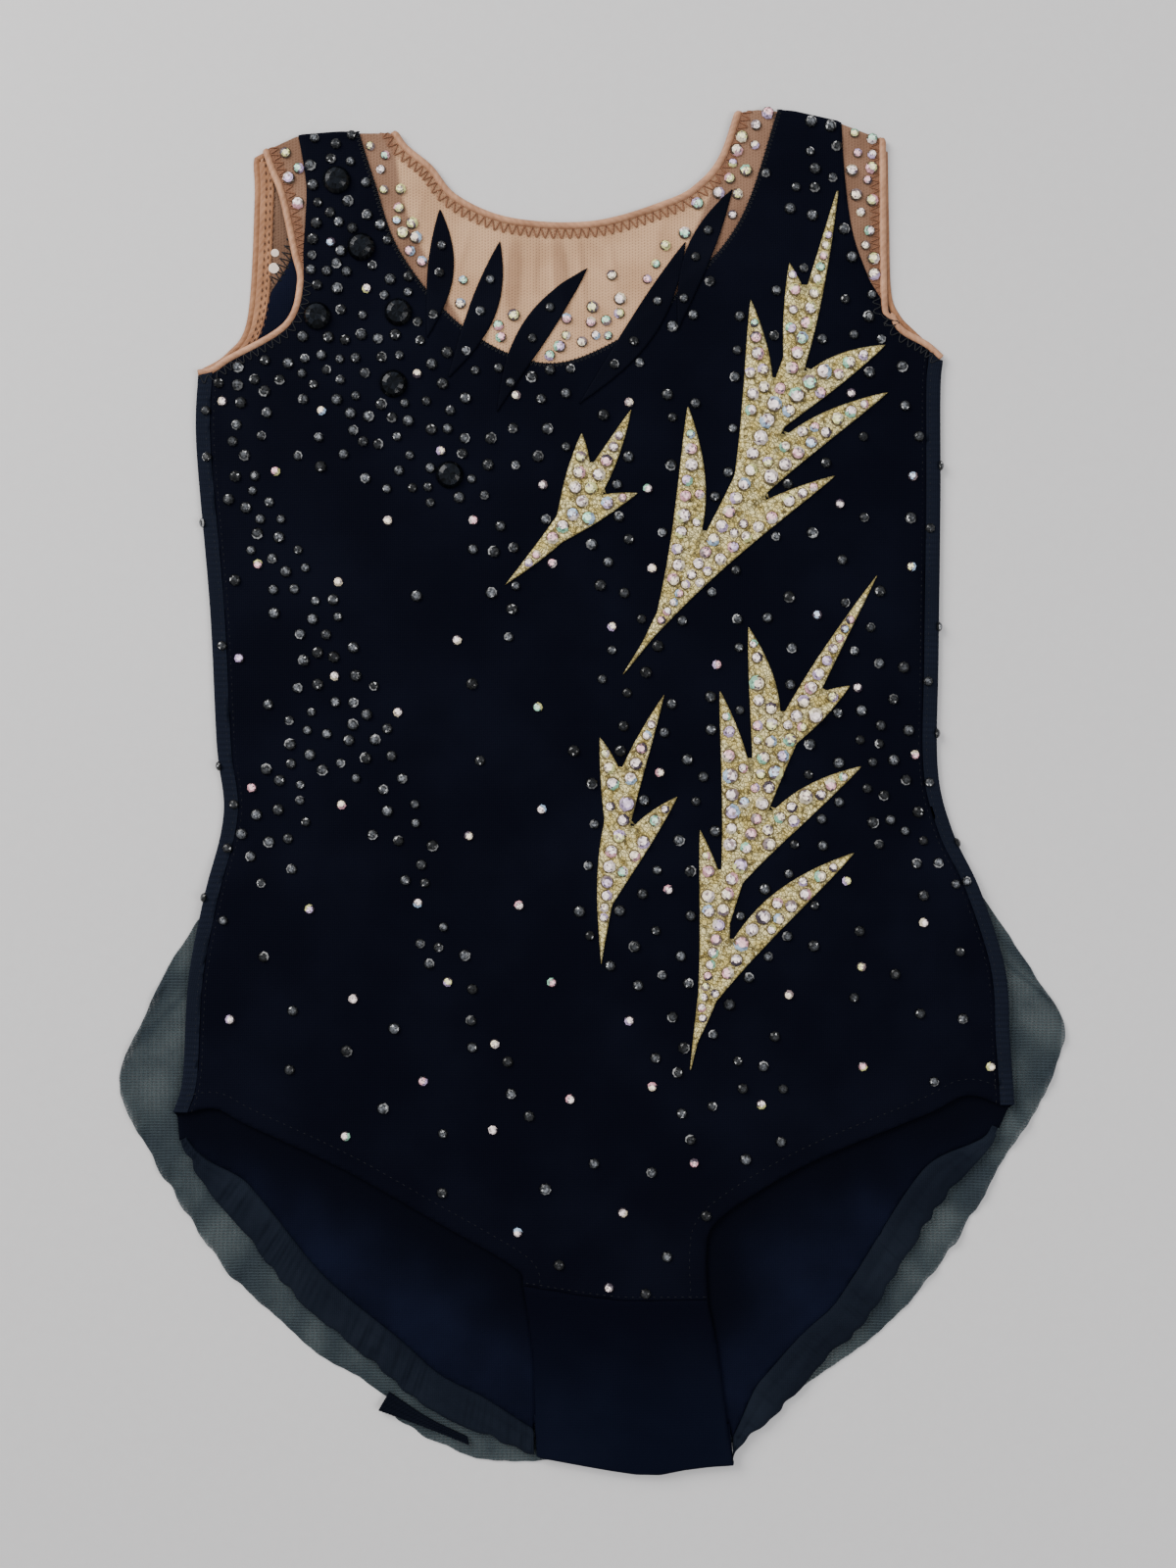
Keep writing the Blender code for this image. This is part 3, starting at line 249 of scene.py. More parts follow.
def curve(points, step=1.5):
    """Round curve through the points (Catmull-Rom), cut into even steps near the given length."""
    p = np.array(points, dtype=float)
    p = np.vstack([2 * p[0] - p[1], p, 2 * p[-1] - p[-2]])
    t = np.linspace(0, 1, 13)[:-1, None]
    runs = []
    for a, b, c, d in zip(p[:-3], p[1:-2], p[2:-1], p[3:]):
        runs.append(0.5 * (2 * b + (c - a) * t + (2 * a - 5 * b + 4 * c - d) * t ** 2
                           + (3 * b - a - 3 * c + d) * t ** 3))
    fine = np.vstack(runs + [p[-2:-1]])
    return even(fine, step)


def even(line, step):
    """The same line with its points at even steps near the given length."""
    length = lengths(line)
    count = max(2, int(round(length[-1] / step)) + 1)
    return along(line, np.linspace(0, 1, count))


def unit(vectors):
    """Vectors of the same heading and length 1."""
    return vectors / np.maximum(np.linalg.norm(vectors, axis=-1, keepdims=True), 1e-9)


def lengths(line):
    """Length along the line up to each of its points."""
    return np.concatenate([[0], np.cumsum(np.linalg.norm(np.diff(line, axis=0), axis=1))])


def along(line, part):
    """Places on a line at parts of its length from 0 to 1."""
    length = lengths(line)
    return np.stack([np.interp(part, length / length[-1], line[:, i]) for i in range(line.shape[1])],
                    axis=-1)


def sideways(line, distance):
    """The line moved to the left of its own direction; distance may differ along it."""
    ahead = unit(np.gradient(line, axis=0))
    left = np.column_stack([-ahead[:, 1], ahead[:, 0]])
    return line + left * np.broadcast_to(distance, len(line))[:, None]


def ring(*edges):
    """One closed outline from edges that follow each other, without doubled points."""
    points = np.vstack(edges)
    step = np.linalg.norm(points - np.roll(points, 1, axis=0), axis=1)
    return points[step > 0.05]


def in_parts(function, points, size=4000):
    """A function of many points, worked out a few thousand at a time."""
    return np.concatenate([function(points[i:i + size]) for i in range(0, len(points), size)])


def inside(points, loop):
    """Which points lie inside a closed outline, by the crossings of a ray to the right."""
    x0, y0 = loop.T
    x1, y1 = np.roll(loop, -1, axis=0).T
    rise = np.where(y1 == y0, 1.0, y1 - y0)

    def some(part):
        x, y = part[:, 0, None], part[:, 1, None]
        crosses = (y0 > y) != (y1 > y)
        return np.sum(crosses & (x < x0 + (y - y0) * (x1 - x0) / rise), axis=1) % 2 == 1

    return in_parts(some, points)


def nearest_on(points, line):
    """For each point the nearest place on a line, and how far away it is."""
    start, run = line[:-1], np.diff(line, axis=0)

    def some(part):
        to_point = part[:, None] - start
        share = np.sum(to_point * run, axis=2) / np.maximum(np.sum(run * run, axis=1), 1e-9)
        gap = to_point - np.clip(share, 0, 1)[:, :, None] * run
        away = np.sum(gap ** 2, axis=2)
        best = np.argmin(away, axis=1)
        pick = np.arange(len(part))
        return np.column_stack([part - gap[pick, best], np.sqrt(away[pick, best])])

    found = in_parts(some, points)
    return found[:, :2], found[:, 2]


def away_from(x, y, *lines):
    """How far places are from the nearest of some lines."""
    points = np.column_stack([np.ravel(x), np.ravel(y)])
    return np.min([nearest_on(points, line)[1] for line in lines], axis=0)


def closed(loop):
    return np.vstack([loop, loop[:1]])


def stroke(shape):
    """Where a straight stroke starts, its run from there, and the way to its left."""
    run = np.array([shape.x1 - shape.x0, shape.y1 - shape.y0])
    return np.array([shape.x0, shape.y0]), run, np.array([-run[1], run[0]]) / np.hypot(*run)


def wave(part, count, start=0.0):
    """A sine wave with a number of swings over a part that goes from 0 to 1."""
    return np.sin(2 * pi * count * part + start)


def share_grid(stations, rows):
    """Shares along and across a band, from 0 to 1, for each point of a grid."""
    u, v = np.meshgrid(np.linspace(0, 1, stations), np.linspace(0, 1, rows))
    return u.ravel(), v.ravel()


def height_of(line):
    """A function that gives the line's Y at any X."""
    ordered = line[np.argsort(line[:, 0])]
    return lambda x: np.interp(x, ordered[:, 0], ordered[:, 1])


def place_of(line):
    """A function that gives the line's X at any Y."""
    ordered = line[np.argsort(line[:, 1])]
    return lambda y: np.interp(y, ordered[:, 1], ordered[:, 0])


side_left_curve = curve(SIDE_LEFT, 3.0)
side_right_curve = curve(SIDE_RIGHT, 3.0)
side_left = place_of(side_left_curve)
side_right = place_of(side_right_curve)
shoulder_fold = height_of(np.array(SHOULDER_FOLD))
crotch_fold = height_of(curve(CROTCH_FOLD, 9.0))


def front_end(x):
    """Pattern height where the front's tail ends, round the shoulder fold."""
    return shoulder_fold(x) - FOLD_OUT + pi * FOLD_MID + SHOULDER_TAIL


def back_end(x):
    return shoulder_fold(x) - FOLD_OUT - SHOULDER_TAIL


def gusset_end(x):
    return crotch_fold(x) + FOLD_OUT - pi * FOLD_MID - CROTCH_TAIL


def crotch_seam(x):
    return crotch_fold(x) + FOLD_OUT + CROTCH_TAIL


def across(x0, x1, end, step=2.0):
    """A piece's end, from one side to the other."""
    x = np.linspace(x0, x1, max(2, int(round(abs(x1 - x0) / step)) + 1))
    return np.column_stack([x, end(x)])


def from_shoulder(points, end):
    return curve([(points[0].x, end(points[0].x))] + points[1:])


def to_shoulders(points, end):
    return from_shoulder(points[:-1] + [Spot(points[-1].x, end(points[-1].x))], end)


def between_edges(first, second, end):
    """The outline between two edges that both run from the left shoulder to the right one."""
    return ring(first, across(first[-1, 0], second[-1, 0], end), second[::-1],
                across(second[0, 0], first[0, 0], end))


def strap_outline(band, edge, end, first=0):
    """The outline between two edges that run down from one shoulder and meet."""
    return ring(band, edge[first:][::-1], across(edge[0, 0], band[0, 0], end))


def nearest_corner(line, spot):
    return int(np.argmin(np.hypot(*(line - spot).T)))


# How the layers lie

def lift(y):
    return LIFT * smoothstep((LIFT_FROM - y) / (LIFT_FROM - LIFT_FULL))


def front_rim():
    """The front's whole edge as it is seen, where its creases and its crown die away."""
    neck = curve(NECK_FRONT, 9.0)
    left = curve(ARMHOLE_FRONT_LEFT, 9.0)
    right = curve(ARMHOLE_FRONT_RIGHT, 9.0)
    bottom = across(GUSSET_LEFT[-1].x, GUSSET_RIGHT[-1].x, lambda x: crotch_fold(x) + FOLD_OUT, 9.0)
    shoulder_left = across(left[0, 0], neck[0, 0], lambda x: shoulder_fold(x) - FOLD_OUT, 9.0)
    shoulder_right = across(neck[-1, 0], right[0, 0], lambda x: shoulder_fold(x) - FOLD_OUT, 9.0)
    return ring((side_left_curve + (FLANGE, 0))[::-1], left[::-1], shoulder_left, neck, shoulder_right,
                right, side_right_curve - (FLANGE, 0), curve(LEG_FRONT_RIGHT, 9.0),
                curve(GUSSET_RIGHT, 9.0), bottom[::-1], curve(GUSSET_LEFT, 9.0)[::-1],
                curve(LEG_FRONT_LEFT, 9.0)[::-1])


def ridges(points, creases):
    """Sum of long soft ridges: a cosine bump across each one, a half sine along it."""
    raised = np.zeros(len(points))
    for crease in creases:
        start, run, _ = stroke(crease)
        share = np.clip((points - start) @ run / (run @ run), 0, 1)
        away = np.linalg.norm(points - start - share[:, None] * run, axis=1)
        ridge = np.cos(np.clip(away / (2 * crease.half_width), 0, 1) * pi) * 0.5 + 0.5
        raised += crease.height * ridge * np.sin(pi * (0.1 + 0.8 * share))
    return raised


def waver(x, y, size, seed):
    """Smooth uneven swell between -1 and 1: a few long sine waves in seeded directions."""
    chance = np.random.default_rng(seed)
    total = np.zeros_like(x)
    for _ in range(7):
        angle, start = chance.uniform(0, 2 * pi, 2)
        reach = size * chance.uniform(0.6, 1.6)
        total += np.sin(2 * pi * (x * cos(angle) + y * sin(angle)) / reach + start)
    return total / 7


GRID_STEP = 1.5
GRID_X = np.arange(-160.0, 162.0, GRID_STEP)
GRID_Y = np.arange(-256.0, 258.0, GRID_STEP)


def front_rise():
    """The front's soft rise inside its edges, with creases and swell, on an even grid."""
    x, y = np.meshgrid(GRID_X, GRID_Y)
    points = np.column_stack([x.ravel(), y.ravel()])
    _, edge = nearest_on(points, closed(front_rim()))
    fade = smoothstep(edge / FOLD_FADE)
    rise = CROWN * smoothstep(edge / CROWN_RUN) + fade * ridges(points, FRONT_CREASES)
    near = smoothstep(edge / (0.5 * FOLD_FADE))
    rise += near * ridges(points, SOFT_FOLDS)
    rise += 0.16 * near * waver(points[:, 0], points[:, 1], 34.0, 5)
    rise += 0.07 * near * waver(points[:, 0], points[:, 1], 12.0, 6)
    return rise.reshape(x.shape)


FRONT_RISE = front_rise()


def from_grid(table, x, y):
    """A table's value at any place, straight between its four nearest entries."""
    across_part = np.clip((x - GRID_X[0]) / GRID_STEP, 0, len(GRID_X) - 1.001)
    up_part = np.clip((y - GRID_Y[0]) / GRID_STEP, 0, len(GRID_Y) - 1.001)
    i, j = across_part.astype(int), up_part.astype(int)
    s, t = across_part - i, up_part - j
    low = table[j, i] * (1 - s) + table[j, i + 1] * s
    high = table[j + 1, i] * (1 - s) + table[j + 1, i + 1] * s
    return low * (1 - t) + high * t


def front_height(x, y):
    return lift(y) + FRONT_LEVEL + from_grid(FRONT_RISE, x, y)


def lay_front(x, y, out):
    """Lay the front over the back, then round the shoulder fold or the crotch fold."""
    past_shoulder = y - (shoulder_fold(x) - FOLD_OUT)
    past_crotch = (crotch_fold(x) + FOLD_OUT) - y
    level = np.where((past_shoulder > 0) | (past_crotch > 0), lift(y) + FRONT_LEVEL, front_height(x, y))
    flat = np.stack([x, y, level + out], axis=-1)
    upwards = lay_fold(x, shoulder_fold(x) - FOLD_OUT, past_shoulder, out, 1)
    downwards = lay_fold(x, crotch_fold(x) + FOLD_OUT, past_crotch, out, -1)
    laid = np.where((past_shoulder > 0)[..., None], upwards, flat)
    return np.where((past_crotch > 0)[..., None], downwards, laid)


def lay_fold(x, start, past, out, way):
    """Round a fold across the garment, then back under, with the pattern's length kept."""
    turn = np.clip(past / FOLD_MID, 0, pi)
    beyond = np.maximum(past - pi * FOLD_MID, 0)
    spare = np.maximum(out - CLOTH, 0) * (1 - np.cos(turn)) / 2
    radius = FOLD_OUT - CLOTH + out - spare
    y = start + way * (radius * np.sin(turn) - beyond)
    return np.stack([x, y, lift(y) + FOLD_OUT + radius * np.cos(turn)], axis=-1)


def lay_back(x, y, out):
    """Lay the back on the table or the skirt, then round both side folds onto the front's level."""
    left_start, right_start = side_left(y) + FOLD_OUT, side_right(y) - FOLD_OUT
    past_left = np.where(y > LEG_FRONT_LEFT[0].y - 0.05, left_start - x, 0)
    past_right = np.where(y > LEG_FRONT_RIGHT[0].y - 0.05, x - right_start, 0)
    past = np.maximum(np.maximum(past_left, past_right), 0)
    turn = np.clip(past / FOLD_MID, 0, pi)
    beyond = np.maximum(past - pi * FOLD_MID, 0)
    radius = FOLD_OUT - out
    reach = radius * np.sin(turn) - beyond
    around_x = np.where(past_left > past_right, left_start - reach, right_start + reach)
    around_z = FOLD_OUT - radius * np.cos(turn)
    folded = past > 0
    return np.stack([np.where(folded, around_x, x), y, lift(y) + np.where(folded, around_z, out)], axis=-1)


def lay_flat(x, y, out):
    return np.stack([x, y, lift(y) + out], axis=-1)


# Meshes from arrays

def add_piece(name, points, faces, finish, hides=(), smooth=True, facets=None, **marks):
    """Make a piece from points in millimetres and faces, an array for each number of corners.

    marks are values kept at each point for its material; facets is one colour for each face.
    """
    mesh = bpy.data.meshes.new(name)
    corners = np.concatenate([part.ravel() for part in faces])
    sizes = np.concatenate([np.full(len(part), part.shape[1]) for part in faces])
    mesh.vertices.add(len(points))
    mesh.vertices.foreach_set("co", ((points + CENTRE) / METRE).ravel())
    mesh.loops.add(len(corners))
    mesh.loops.foreach_set("vertex_index", corners)
    mesh.polygons.add(len(sizes))
    mesh.polygons.foreach_set("loop_start", np.cumsum(sizes) - sizes)
    mesh.polygons.foreach_set("use_smooth", np.full(len(sizes), smooth))
    for mark, values in marks.items():
        kind = "FLOAT" if values.ndim == 1 else "FLOAT_VECTOR"
        layer = mesh.attributes.new(mark, kind, "POINT")
        layer.data.foreach_set("value" if values.ndim == 1 else "vector", values.ravel())
    if facets is not None:
        layer = mesh.attributes.new("facet", "FLOAT_COLOR", "FACE")
        layer.data.foreach_set("color", np.column_stack([facets, np.ones(len(facets))]).ravel())
    mesh.update(calc_edges=True)
    mesh.validate()
    mesh.materials.append(finish)
    piece = bpy.data.objects.new(name, mesh)
    bpy.context.scene.collection.objects.link(piece)
    if hides:
        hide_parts(*hides)
    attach(piece, "root")
    slot = next(slot for slot, finishes in SLOTS.items() if finish in finishes)
    return piece


def grid_faces(rows, columns):
    """Corner numbers of every cell of a grid, in turning order as seen from above."""
    number = np.arange(rows * columns).reshape(rows, columns)
    return np.stack([number[:-1, :-1], number[:-1, 1:], number[1:, 1:], number[1:, :-1]], -1).reshape(-1, 4)


def cut_out(grid, loops):
    """The cells of a grid that reach inside the outlines, their outer corners moved onto them."""
    flat = grid.reshape(-1, 2).copy()
    faces = grid_faces(*grid.shape[:2])
    within = np.any([inside(flat, loop) for loop in loops], axis=0)
    faces = faces[np.any(within[faces], axis=1)]
    used = np.unique(faces)
    outer = used[~within[used]]
    found = [nearest_on(flat[outer], closed(loop)) for loop in loops]
    best = np.argmin([away for _, away in found], axis=0)
    flat[outer] = np.stack([place for place, _ in found])[best, np.arange(len(outer))]
    number = np.zeros(len(flat), dtype=int)
    number[used] = np.arange(len(used))
    rim = np.zeros(len(used), dtype=bool)
    rim[number[outer]] = True
    return flat[used], number[faces], rim


def open_edges(faces, count):
    """Edges with a face on one side only, in that face's turning direction."""
    edges = np.concatenate([faces[:, [i, (i + 1) % faces.shape[1]]] for i in range(faces.shape[1])])
    forward = edges[:, 0] * count + edges[:, 1]
    backward = edges[:, 1] * count + edges[:, 0]
    return edges[~np.isin(forward, backward)]


def shell(name, place, faces, lay, under, over, finish, hides=(), **marks):
    """A piece of cloth: its cut laid twice, at its underside and its top, and joined round its edge."""
    count = len(place)
    under = np.broadcast_to(under, count)
    over = np.broadcast_to(over, count)
    points = np.vstack([lay(*place.T, over), lay(*place.T, under)])
    rim = open_edges(faces, count)
    walls = np.column_stack([rim[:, 1], rim[:, 0], rim[:, 0] + count, rim[:, 1] + count])
    marks.setdefault("cut", np.column_stack([place, np.zeros(count)]))
    doubled = {mark: np.concatenate([values, values]) for mark, values in marks.items()}
    doubled["top"] = np.repeat([1.0, 0.0], count)
    return add_piece(name, points, [faces, faces[:, ::-1] + count, walls], finish, hides, **doubled)


def panel(name, grid, loops, lay, under, over, finish, hides=(), **rules):
    """A panel cut from a grid, with softly rounded edges. rules give marks from pattern places."""
    place, faces, rim = cut_out(grid, loops)
    top = np.where(rim, under + 0.6 * (over - under), over)
    marks = {mark: rule(*place.T) for mark, rule in rules.items()}
    return shell(name, place, faces, lay, under, top, finish, hides, **marks)


def level_grid(x0, x1, y0, y1, step):
    """Square cells over a rectangle."""
    x = np.arange(x0, x1 + step, step)
    y = np.arange(y0, y1 + step, step)
    return np.stack(np.meshgrid(x, y), axis=-1)


def grid_round(loops, margin, step):
    """Square cells over some outlines, and a margin round them."""
    low, high = np.vstack(loops).min(axis=0) - margin, np.vstack(loops).max(axis=0) + margin
    return level_grid(low[0], high[0], low[1], high[1], step)


def shoulder_grid(x0, x1, y0, step):
    """Cells whose rows bend to follow the shoulder fold near it, and are fine round it."""
    level = 240.0
    fold = level - FOLD_OUT
    rows = np.concatenate([np.arange(y0, fold - 3.0, step), [fold - 2.2, fold - 0.9],
                           fold + np.linspace(0, pi * FOLD_MID, 8),
                           fold + pi * FOLD_MID + np.array([1.6, 3.2, 4.8])])
    x, v = np.meshgrid(np.arange(x0, x1 + step, step), rows)
    return np.stack([x, v + smoothstep((v - 150.0) / 60.0) * (shoulder_fold(x) - level)], axis=-1)


def crotch_grid(x0, x1, y1, step):
    """Cells whose rows bend to follow the crotch fold near it, and are fine round it."""
    level = -248.0
    fold = level + FOLD_OUT
    rows = np.concatenate([np.arange(y1, fold + 3.0, -step), [fold + 2.2, fold + 0.9],
                           fold - np.linspace(0, pi * FOLD_MID, 8),
                           fold - pi * FOLD_MID - np.arange(2.0, CROTCH_TAIL + 3.0, 2.5)])[::-1]
    x, v = np.meshgrid(np.arange(x0, x1 + step, step), rows)
    return np.stack([x, v + smoothstep((-190.0 - v) / 40.0) * (crotch_fold(x) - level)], axis=-1)


def back_grid(step):
    """Cells between the side folds, with fine columns round each fold and on each flange."""
    rows = np.concatenate([np.arange(-248.0, 246.0, step), [LEG_FRONT_LEFT[0].y, LEG_FRONT_RIGHT[0].y]])
    y = np.sort(rows)[:, None]
    round_fold = np.concatenate([np.linspace(0, pi * FOLD_MID, 7)[1:],
                                 pi * FOLD_MID + np.arange(1.4, FLANGE + 2.6, 1.4)])
    left, right = side_left(y) + FOLD_OUT, side_right(y) - FOLD_OUT
    middle = left + (right - left) * np.linspace(0, 1, int(290 / step))
    x = np.hstack([left - round_fold[::-1], middle, right + round_fold])
    return np.stack([x, np.broadcast_to(y, x.shape)], axis=-1)


SATIN_STEP = 0.9
SATIN_CELLS = 9


def strip_marks(length, width, part):
    """Flat pattern places of a strip, along it and at parts of its width."""
    along_it, across_it = np.meshgrid(length, part * width, indexing="ij")
    return np.column_stack([along_it.ravel(), across_it.ravel(), np.zeros(along_it.size)])


def round_top(part, least):
    return np.maximum(np.sqrt(1 - (2 * part - 1) ** 2), least)


def roll(node, line, way, lay, cloth):
    """A satin binding: half an ellipse carried along its edge, on the left of it where way is 1."""
    line = even(line, SATIN_STEP)
    part = 0.5 - 0.5 * np.cos(np.linspace(0, pi, SATIN_CELLS))
    length = lengths(line)
    grid = np.stack([sideways(line, way * BINDING_WIDTH * p) for p in part], axis=1)[:, ::way]
    pucker = 1 + 0.05 * np.sin(2 * pi * length / 5.3 + 2 * np.sin(length / 2.9))[:, None]
    over = BINDING_WALL * pucker * round_top(part, 0.16)
    return shell(node + "_satin", grid.reshape(-1, 2), grid_faces(*grid.shape[:2])[:, ::-1], lay, 0.0,
                 over.ravel(), cloth, [node], cut=strip_marks(length, BINDING_WIDTH, part))


def thread_frame(ahead):
    """Which way is sideways and which way is up for a thread that runs ahead."""
    side = unit(np.cross(ahead, [0.0, 0.0, 1.0]))
    return side, np.cross(side, unit(ahead))


def tube(path, radius, sides=4):
    """A thread: a small ring of points carried along a path, closed at both ends."""
    side, up = thread_frame(np.gradient(path, axis=0))
    turn = np.linspace(0, 2 * pi, sides, endpoint=False)[:, None]
    points = path[:, None] + radius * (np.cos(turn) * side[:, None] + np.sin(turn) * up[:, None])
    number = np.arange(len(path) * sides).reshape(len(path), sides)
    after = np.roll(number, -1, axis=1)
    walls = np.stack([number[:-1], number[1:], after[1:], after[:-1]], -1).reshape(-1, 4)
    return points.reshape(-1, 3), [walls, np.vstack([number[0], number[-1][::-1]])]


def join(parts):
    """Several meshes as one: points follow each other, and faces keep their own corners."""
    start, points, faces = 0, [], {}
    for part_points, part_faces in parts:
        for group in part_faces:
            faces.setdefault(group.shape[1], []).append(group + start)
        points.append(part_points)
        start += len(part_points)
    return np.vstack(points), [np.vstack(groups) for groups in faces.values()]


def zigzag(line, way, near, far, pitch, lay, out, radius, slant=0.0):
    """A zigzag thread beside a line, between two distances from it, on the left where way is 1."""
    line = even(line, pitch / 8)
    length = lengths(line)
    phase = (length / pitch) % 1.0
    swing = 0.5 - 0.5 * np.cos(2 * pi * phase) + slant * np.sin(4 * pi * phase)
    beside = sideways(line, way * (near + (far - near) * swing))
    return tube(lay(*beside.T, out), radius)


def running(line, lay, out, stitch, gap, radius):
    """A row of straight stitches: spindles with four sides, each a stitch long, along a line."""
    count = int(lengths(line)[-1] / (stitch + gap))
    part = (np.arange(count) + 0.5) / count
    share = 0.5 * stitch / lengths(line)[-1]
    tail, head = along(line, part - share), along(line, part + share)
    tail, head = lay(*tail.T, out - STITCH_SINK), lay(*head.T, out - STITCH_SINK)
    side, up = thread_frame(head - tail)
    middle = (head + tail) / 2
    points = np.stack([tail, middle + radius * side, middle + radius * up, middle - radius * side,
                       middle - radius * up, head], axis=1)
    template = np.array([[0, 1, 2], [0, 2, 3], [0, 3, 4], [0, 4, 1],
                         [5, 2, 1], [5, 3, 2], [5, 4, 3], [5, 1, 4]])
    faces = (template[None] + 6 * np.arange(count)[:, None, None]).reshape(-1, 3)
    return points.reshape(-1, 3), [faces]


def spine(leaf, t):
    """Places on a leaf's bowed spine, from 0 at its base to 1 at its tip."""
    start, run, side = stroke(leaf)
    t = np.asarray(t)[..., None]
    return start + run * t + side * (leaf.bend * np.sin(pi * t))


def half_width(leaf, t):
    return leaf.width / 2 * np.sin(pi * t ** LEAF_FULLEST) ** 0.9


def leaf_outline(leaf):
    """A willow leaf from base to tip: pointed at both ends, its spine bowed to one side."""
    t = np.linspace(0, 1, 40)
    middle, half = spine(leaf, t), half_width(leaf, t)
    half[[0, -1]] = 0
    return ring(sideways(middle, half)[:-1], sideways(middle, -half)[:0:-1])


def spray_leaves(stem):
    """A spray's stem and its leaves, each with its own ends, width and bend."""
    _, run, _ = stroke(stem.spine)
    heading = np.arctan2(run[1], run[0])
    leaves = [stem.spine]
    for leaf in stem.leaves:
        base = spine(stem.spine, leaf.at)
        angle = heading + leaf.side * radians(leaf.angle)
        tip = base + leaf.length * np.array([cos(angle), sin(angle)])
        leaves.append(Point(*base, *tip, leaf.width, -leaf.side * leaf.length * LEAF_BOW))
    return leaves


# Materials: Python expressions on what varies over a surface add the shader's nodes

def operator(operation, swapped=False):
    """An operator that adds a Math node; swapped where the amount stands on its right."""
    def act(self, other):
        return self.finish.math(operation, *((other, self) if swapped else (self, other)))
    return act


class Amount:
    """One socket of a material's nodes; the usual operators on it add Math nodes."""

    __add__ = operator("ADD")
    __radd__ = operator("ADD", True)
    __sub__ = operator("SUBTRACT")
    __rsub__ = operator("SUBTRACT", True)
    __mul__ = operator("MULTIPLY")
    __rmul__ = operator("MULTIPLY", True)
    __pow__ = operator("POWER")

    def __init__(self, finish, socket):
        self.finish = finish
        self.socket = socket

    def sine(self, period):
        """A sine wave of the amount, from 0 to 1, once in each period."""
        return self.finish.math("SINE", self * (2 * pi / period)) * 0.5 + 0.5

    def between(self, low, high):
        """0 below low, 1 above high, and a soft rise between."""
        settings = {"interpolation_type": "SMOOTHSTEP"}
        sockets = {"Value": self, "From Min": low, "From Max": high}
        return self.finish.node("ShaderNodeMapRange", settings, sockets)


class Finish:
    """The node material of one kind of surface."""

    def __init__(self, name, **constants):
        self.material = bpy.data.materials.new(name)
        self.material.use_nodes = True
        self.tree = self.material.node_tree
        self.shader = self.tree.nodes["Principled BSDF"]
        for socket, value in constants.items():
            self.shader.inputs[socket.replace("_", " ")].default_value = value

    def node(self, kind, settings, sockets, output=0):
        """Add one node: its settings first, then the values or links of its sockets."""
        node = self.tree.nodes.new(kind)
        for setting, value in settings.items():
            setattr(node, setting, value)
        for socket, value in sockets.items():
            if isinstance(value, Amount):
                self.tree.links.new(value.socket, node.inputs[socket])
            else:
                node.inputs[socket].default_value = value
        return Amount(self, node.outputs[output])

    def math(self, operation, *values):
        return self.node("ShaderNodeMath", {"operation": operation}, dict(enumerate(values)))

    def mix(self, share, first, second):
        """A colour between two colours."""
        pair = [(*c, 1.0) if isinstance(c, tuple) else c for c in (first, second)]
        return self.node("ShaderNodeMix", {"data_type": "RGBA"}, {0: share, 6: pair[0], 7: pair[1]}, 2)

    def mark(self, name, output=2):
        """A value kept at the mesh's points: output 0 is a colour, 1 a vector and 2 a number."""
        return self.node("ShaderNodeAttribute", {"attribute_name": name}, {}, output)

    def place(self):
        """Places on the object, in metres."""
        return self.node("ShaderNodeTexCoord", {}, {}, 3)

    def cut(self):
        """Places on the piece's flat cut, in millimetres: the vector, its X and its Y."""
        cut = self.mark("cut", 1)
        return [cut] + self.parts(cut)[:2]

    def parts(self, vector):
        return [self.node("ShaderNodeSeparateXYZ", {}, {0: vector}, i) for i in range(3)]

    def noise(self, place, period, detail=2.0, rough=0.5):
        """Even cloudy noise around 0.5 with the given period."""
        sockets = {"Vector": place, "Scale": 1.0 / period, "Detail": detail, "Roughness": rough}
        return self.node("ShaderNodeTexNoise", {}, sockets)

    def cells(self, place, period, feature="F1", output=0):
        settings = {"feature": feature}
        return self.node("ShaderNodeTexVoronoi", settings, {"Vector": place, "Scale": 1.0 / period}, output)

    def show(self, **links):
        """Link what varies to the shader's sockets."""
        for socket, value in links.items():
            self.tree.links.new(value.socket, self.shader.inputs[socket.replace("_", " ")])
        return self.material

    def relief(self, height, distance):
        """A bump from a height between 0 and 1, its depth in millimetres."""
        return self.node("ShaderNodeBump", {}, {"Height": height, "Distance": distance / METRE,
                                                "Strength": 1.0})


def knit(finish, x, y, wale, course):
    """Height of a fine knit: ribs across one way and loops across the other, 0 to 1."""
    return x.sine(wale) * 0.6 + (y + x.sine(wale) * 0.3 * course).sine(course) * 0.4


def scaled(colour, by):
    return tuple(by * c for c in colour)


def black_cloth(name, base, raised, sheen, fading=None):
    """Stretch cloth, nearly black: fine knit and faint clouds. fading is the colour it starts with."""
    finish = Finish(name, Specular_IOR_Level=0.025, Sheen_Weight=sheen, Sheen_Roughness=0.5,
                    Sheen_Tint=(0.35, 0.42, 0.60, 1.0))
    cut, x, y = finish.cut()
    weave = knit(finish, x, y, 0.72, 0.9)
    clouds = finish.noise(cut, 46.0, 3.0)
    fuzz = finish.noise(cut, 1.6, 2.0, 0.7)
    share = clouds.between(0.35, 0.75) * 0.55 + weave * 0.25 + fuzz * 0.2
    colour = finish.mix(share, base, raised)
    if fading:
        colour = finish.mix(finish.mark("down"), fading, colour)
    normal = finish.relief(weave * 0.7 + fuzz * 0.6, 0.10)
    return finish.show(Base_Color=colour, Roughness=0.66 + 0.22 * fuzz, Normal=normal)


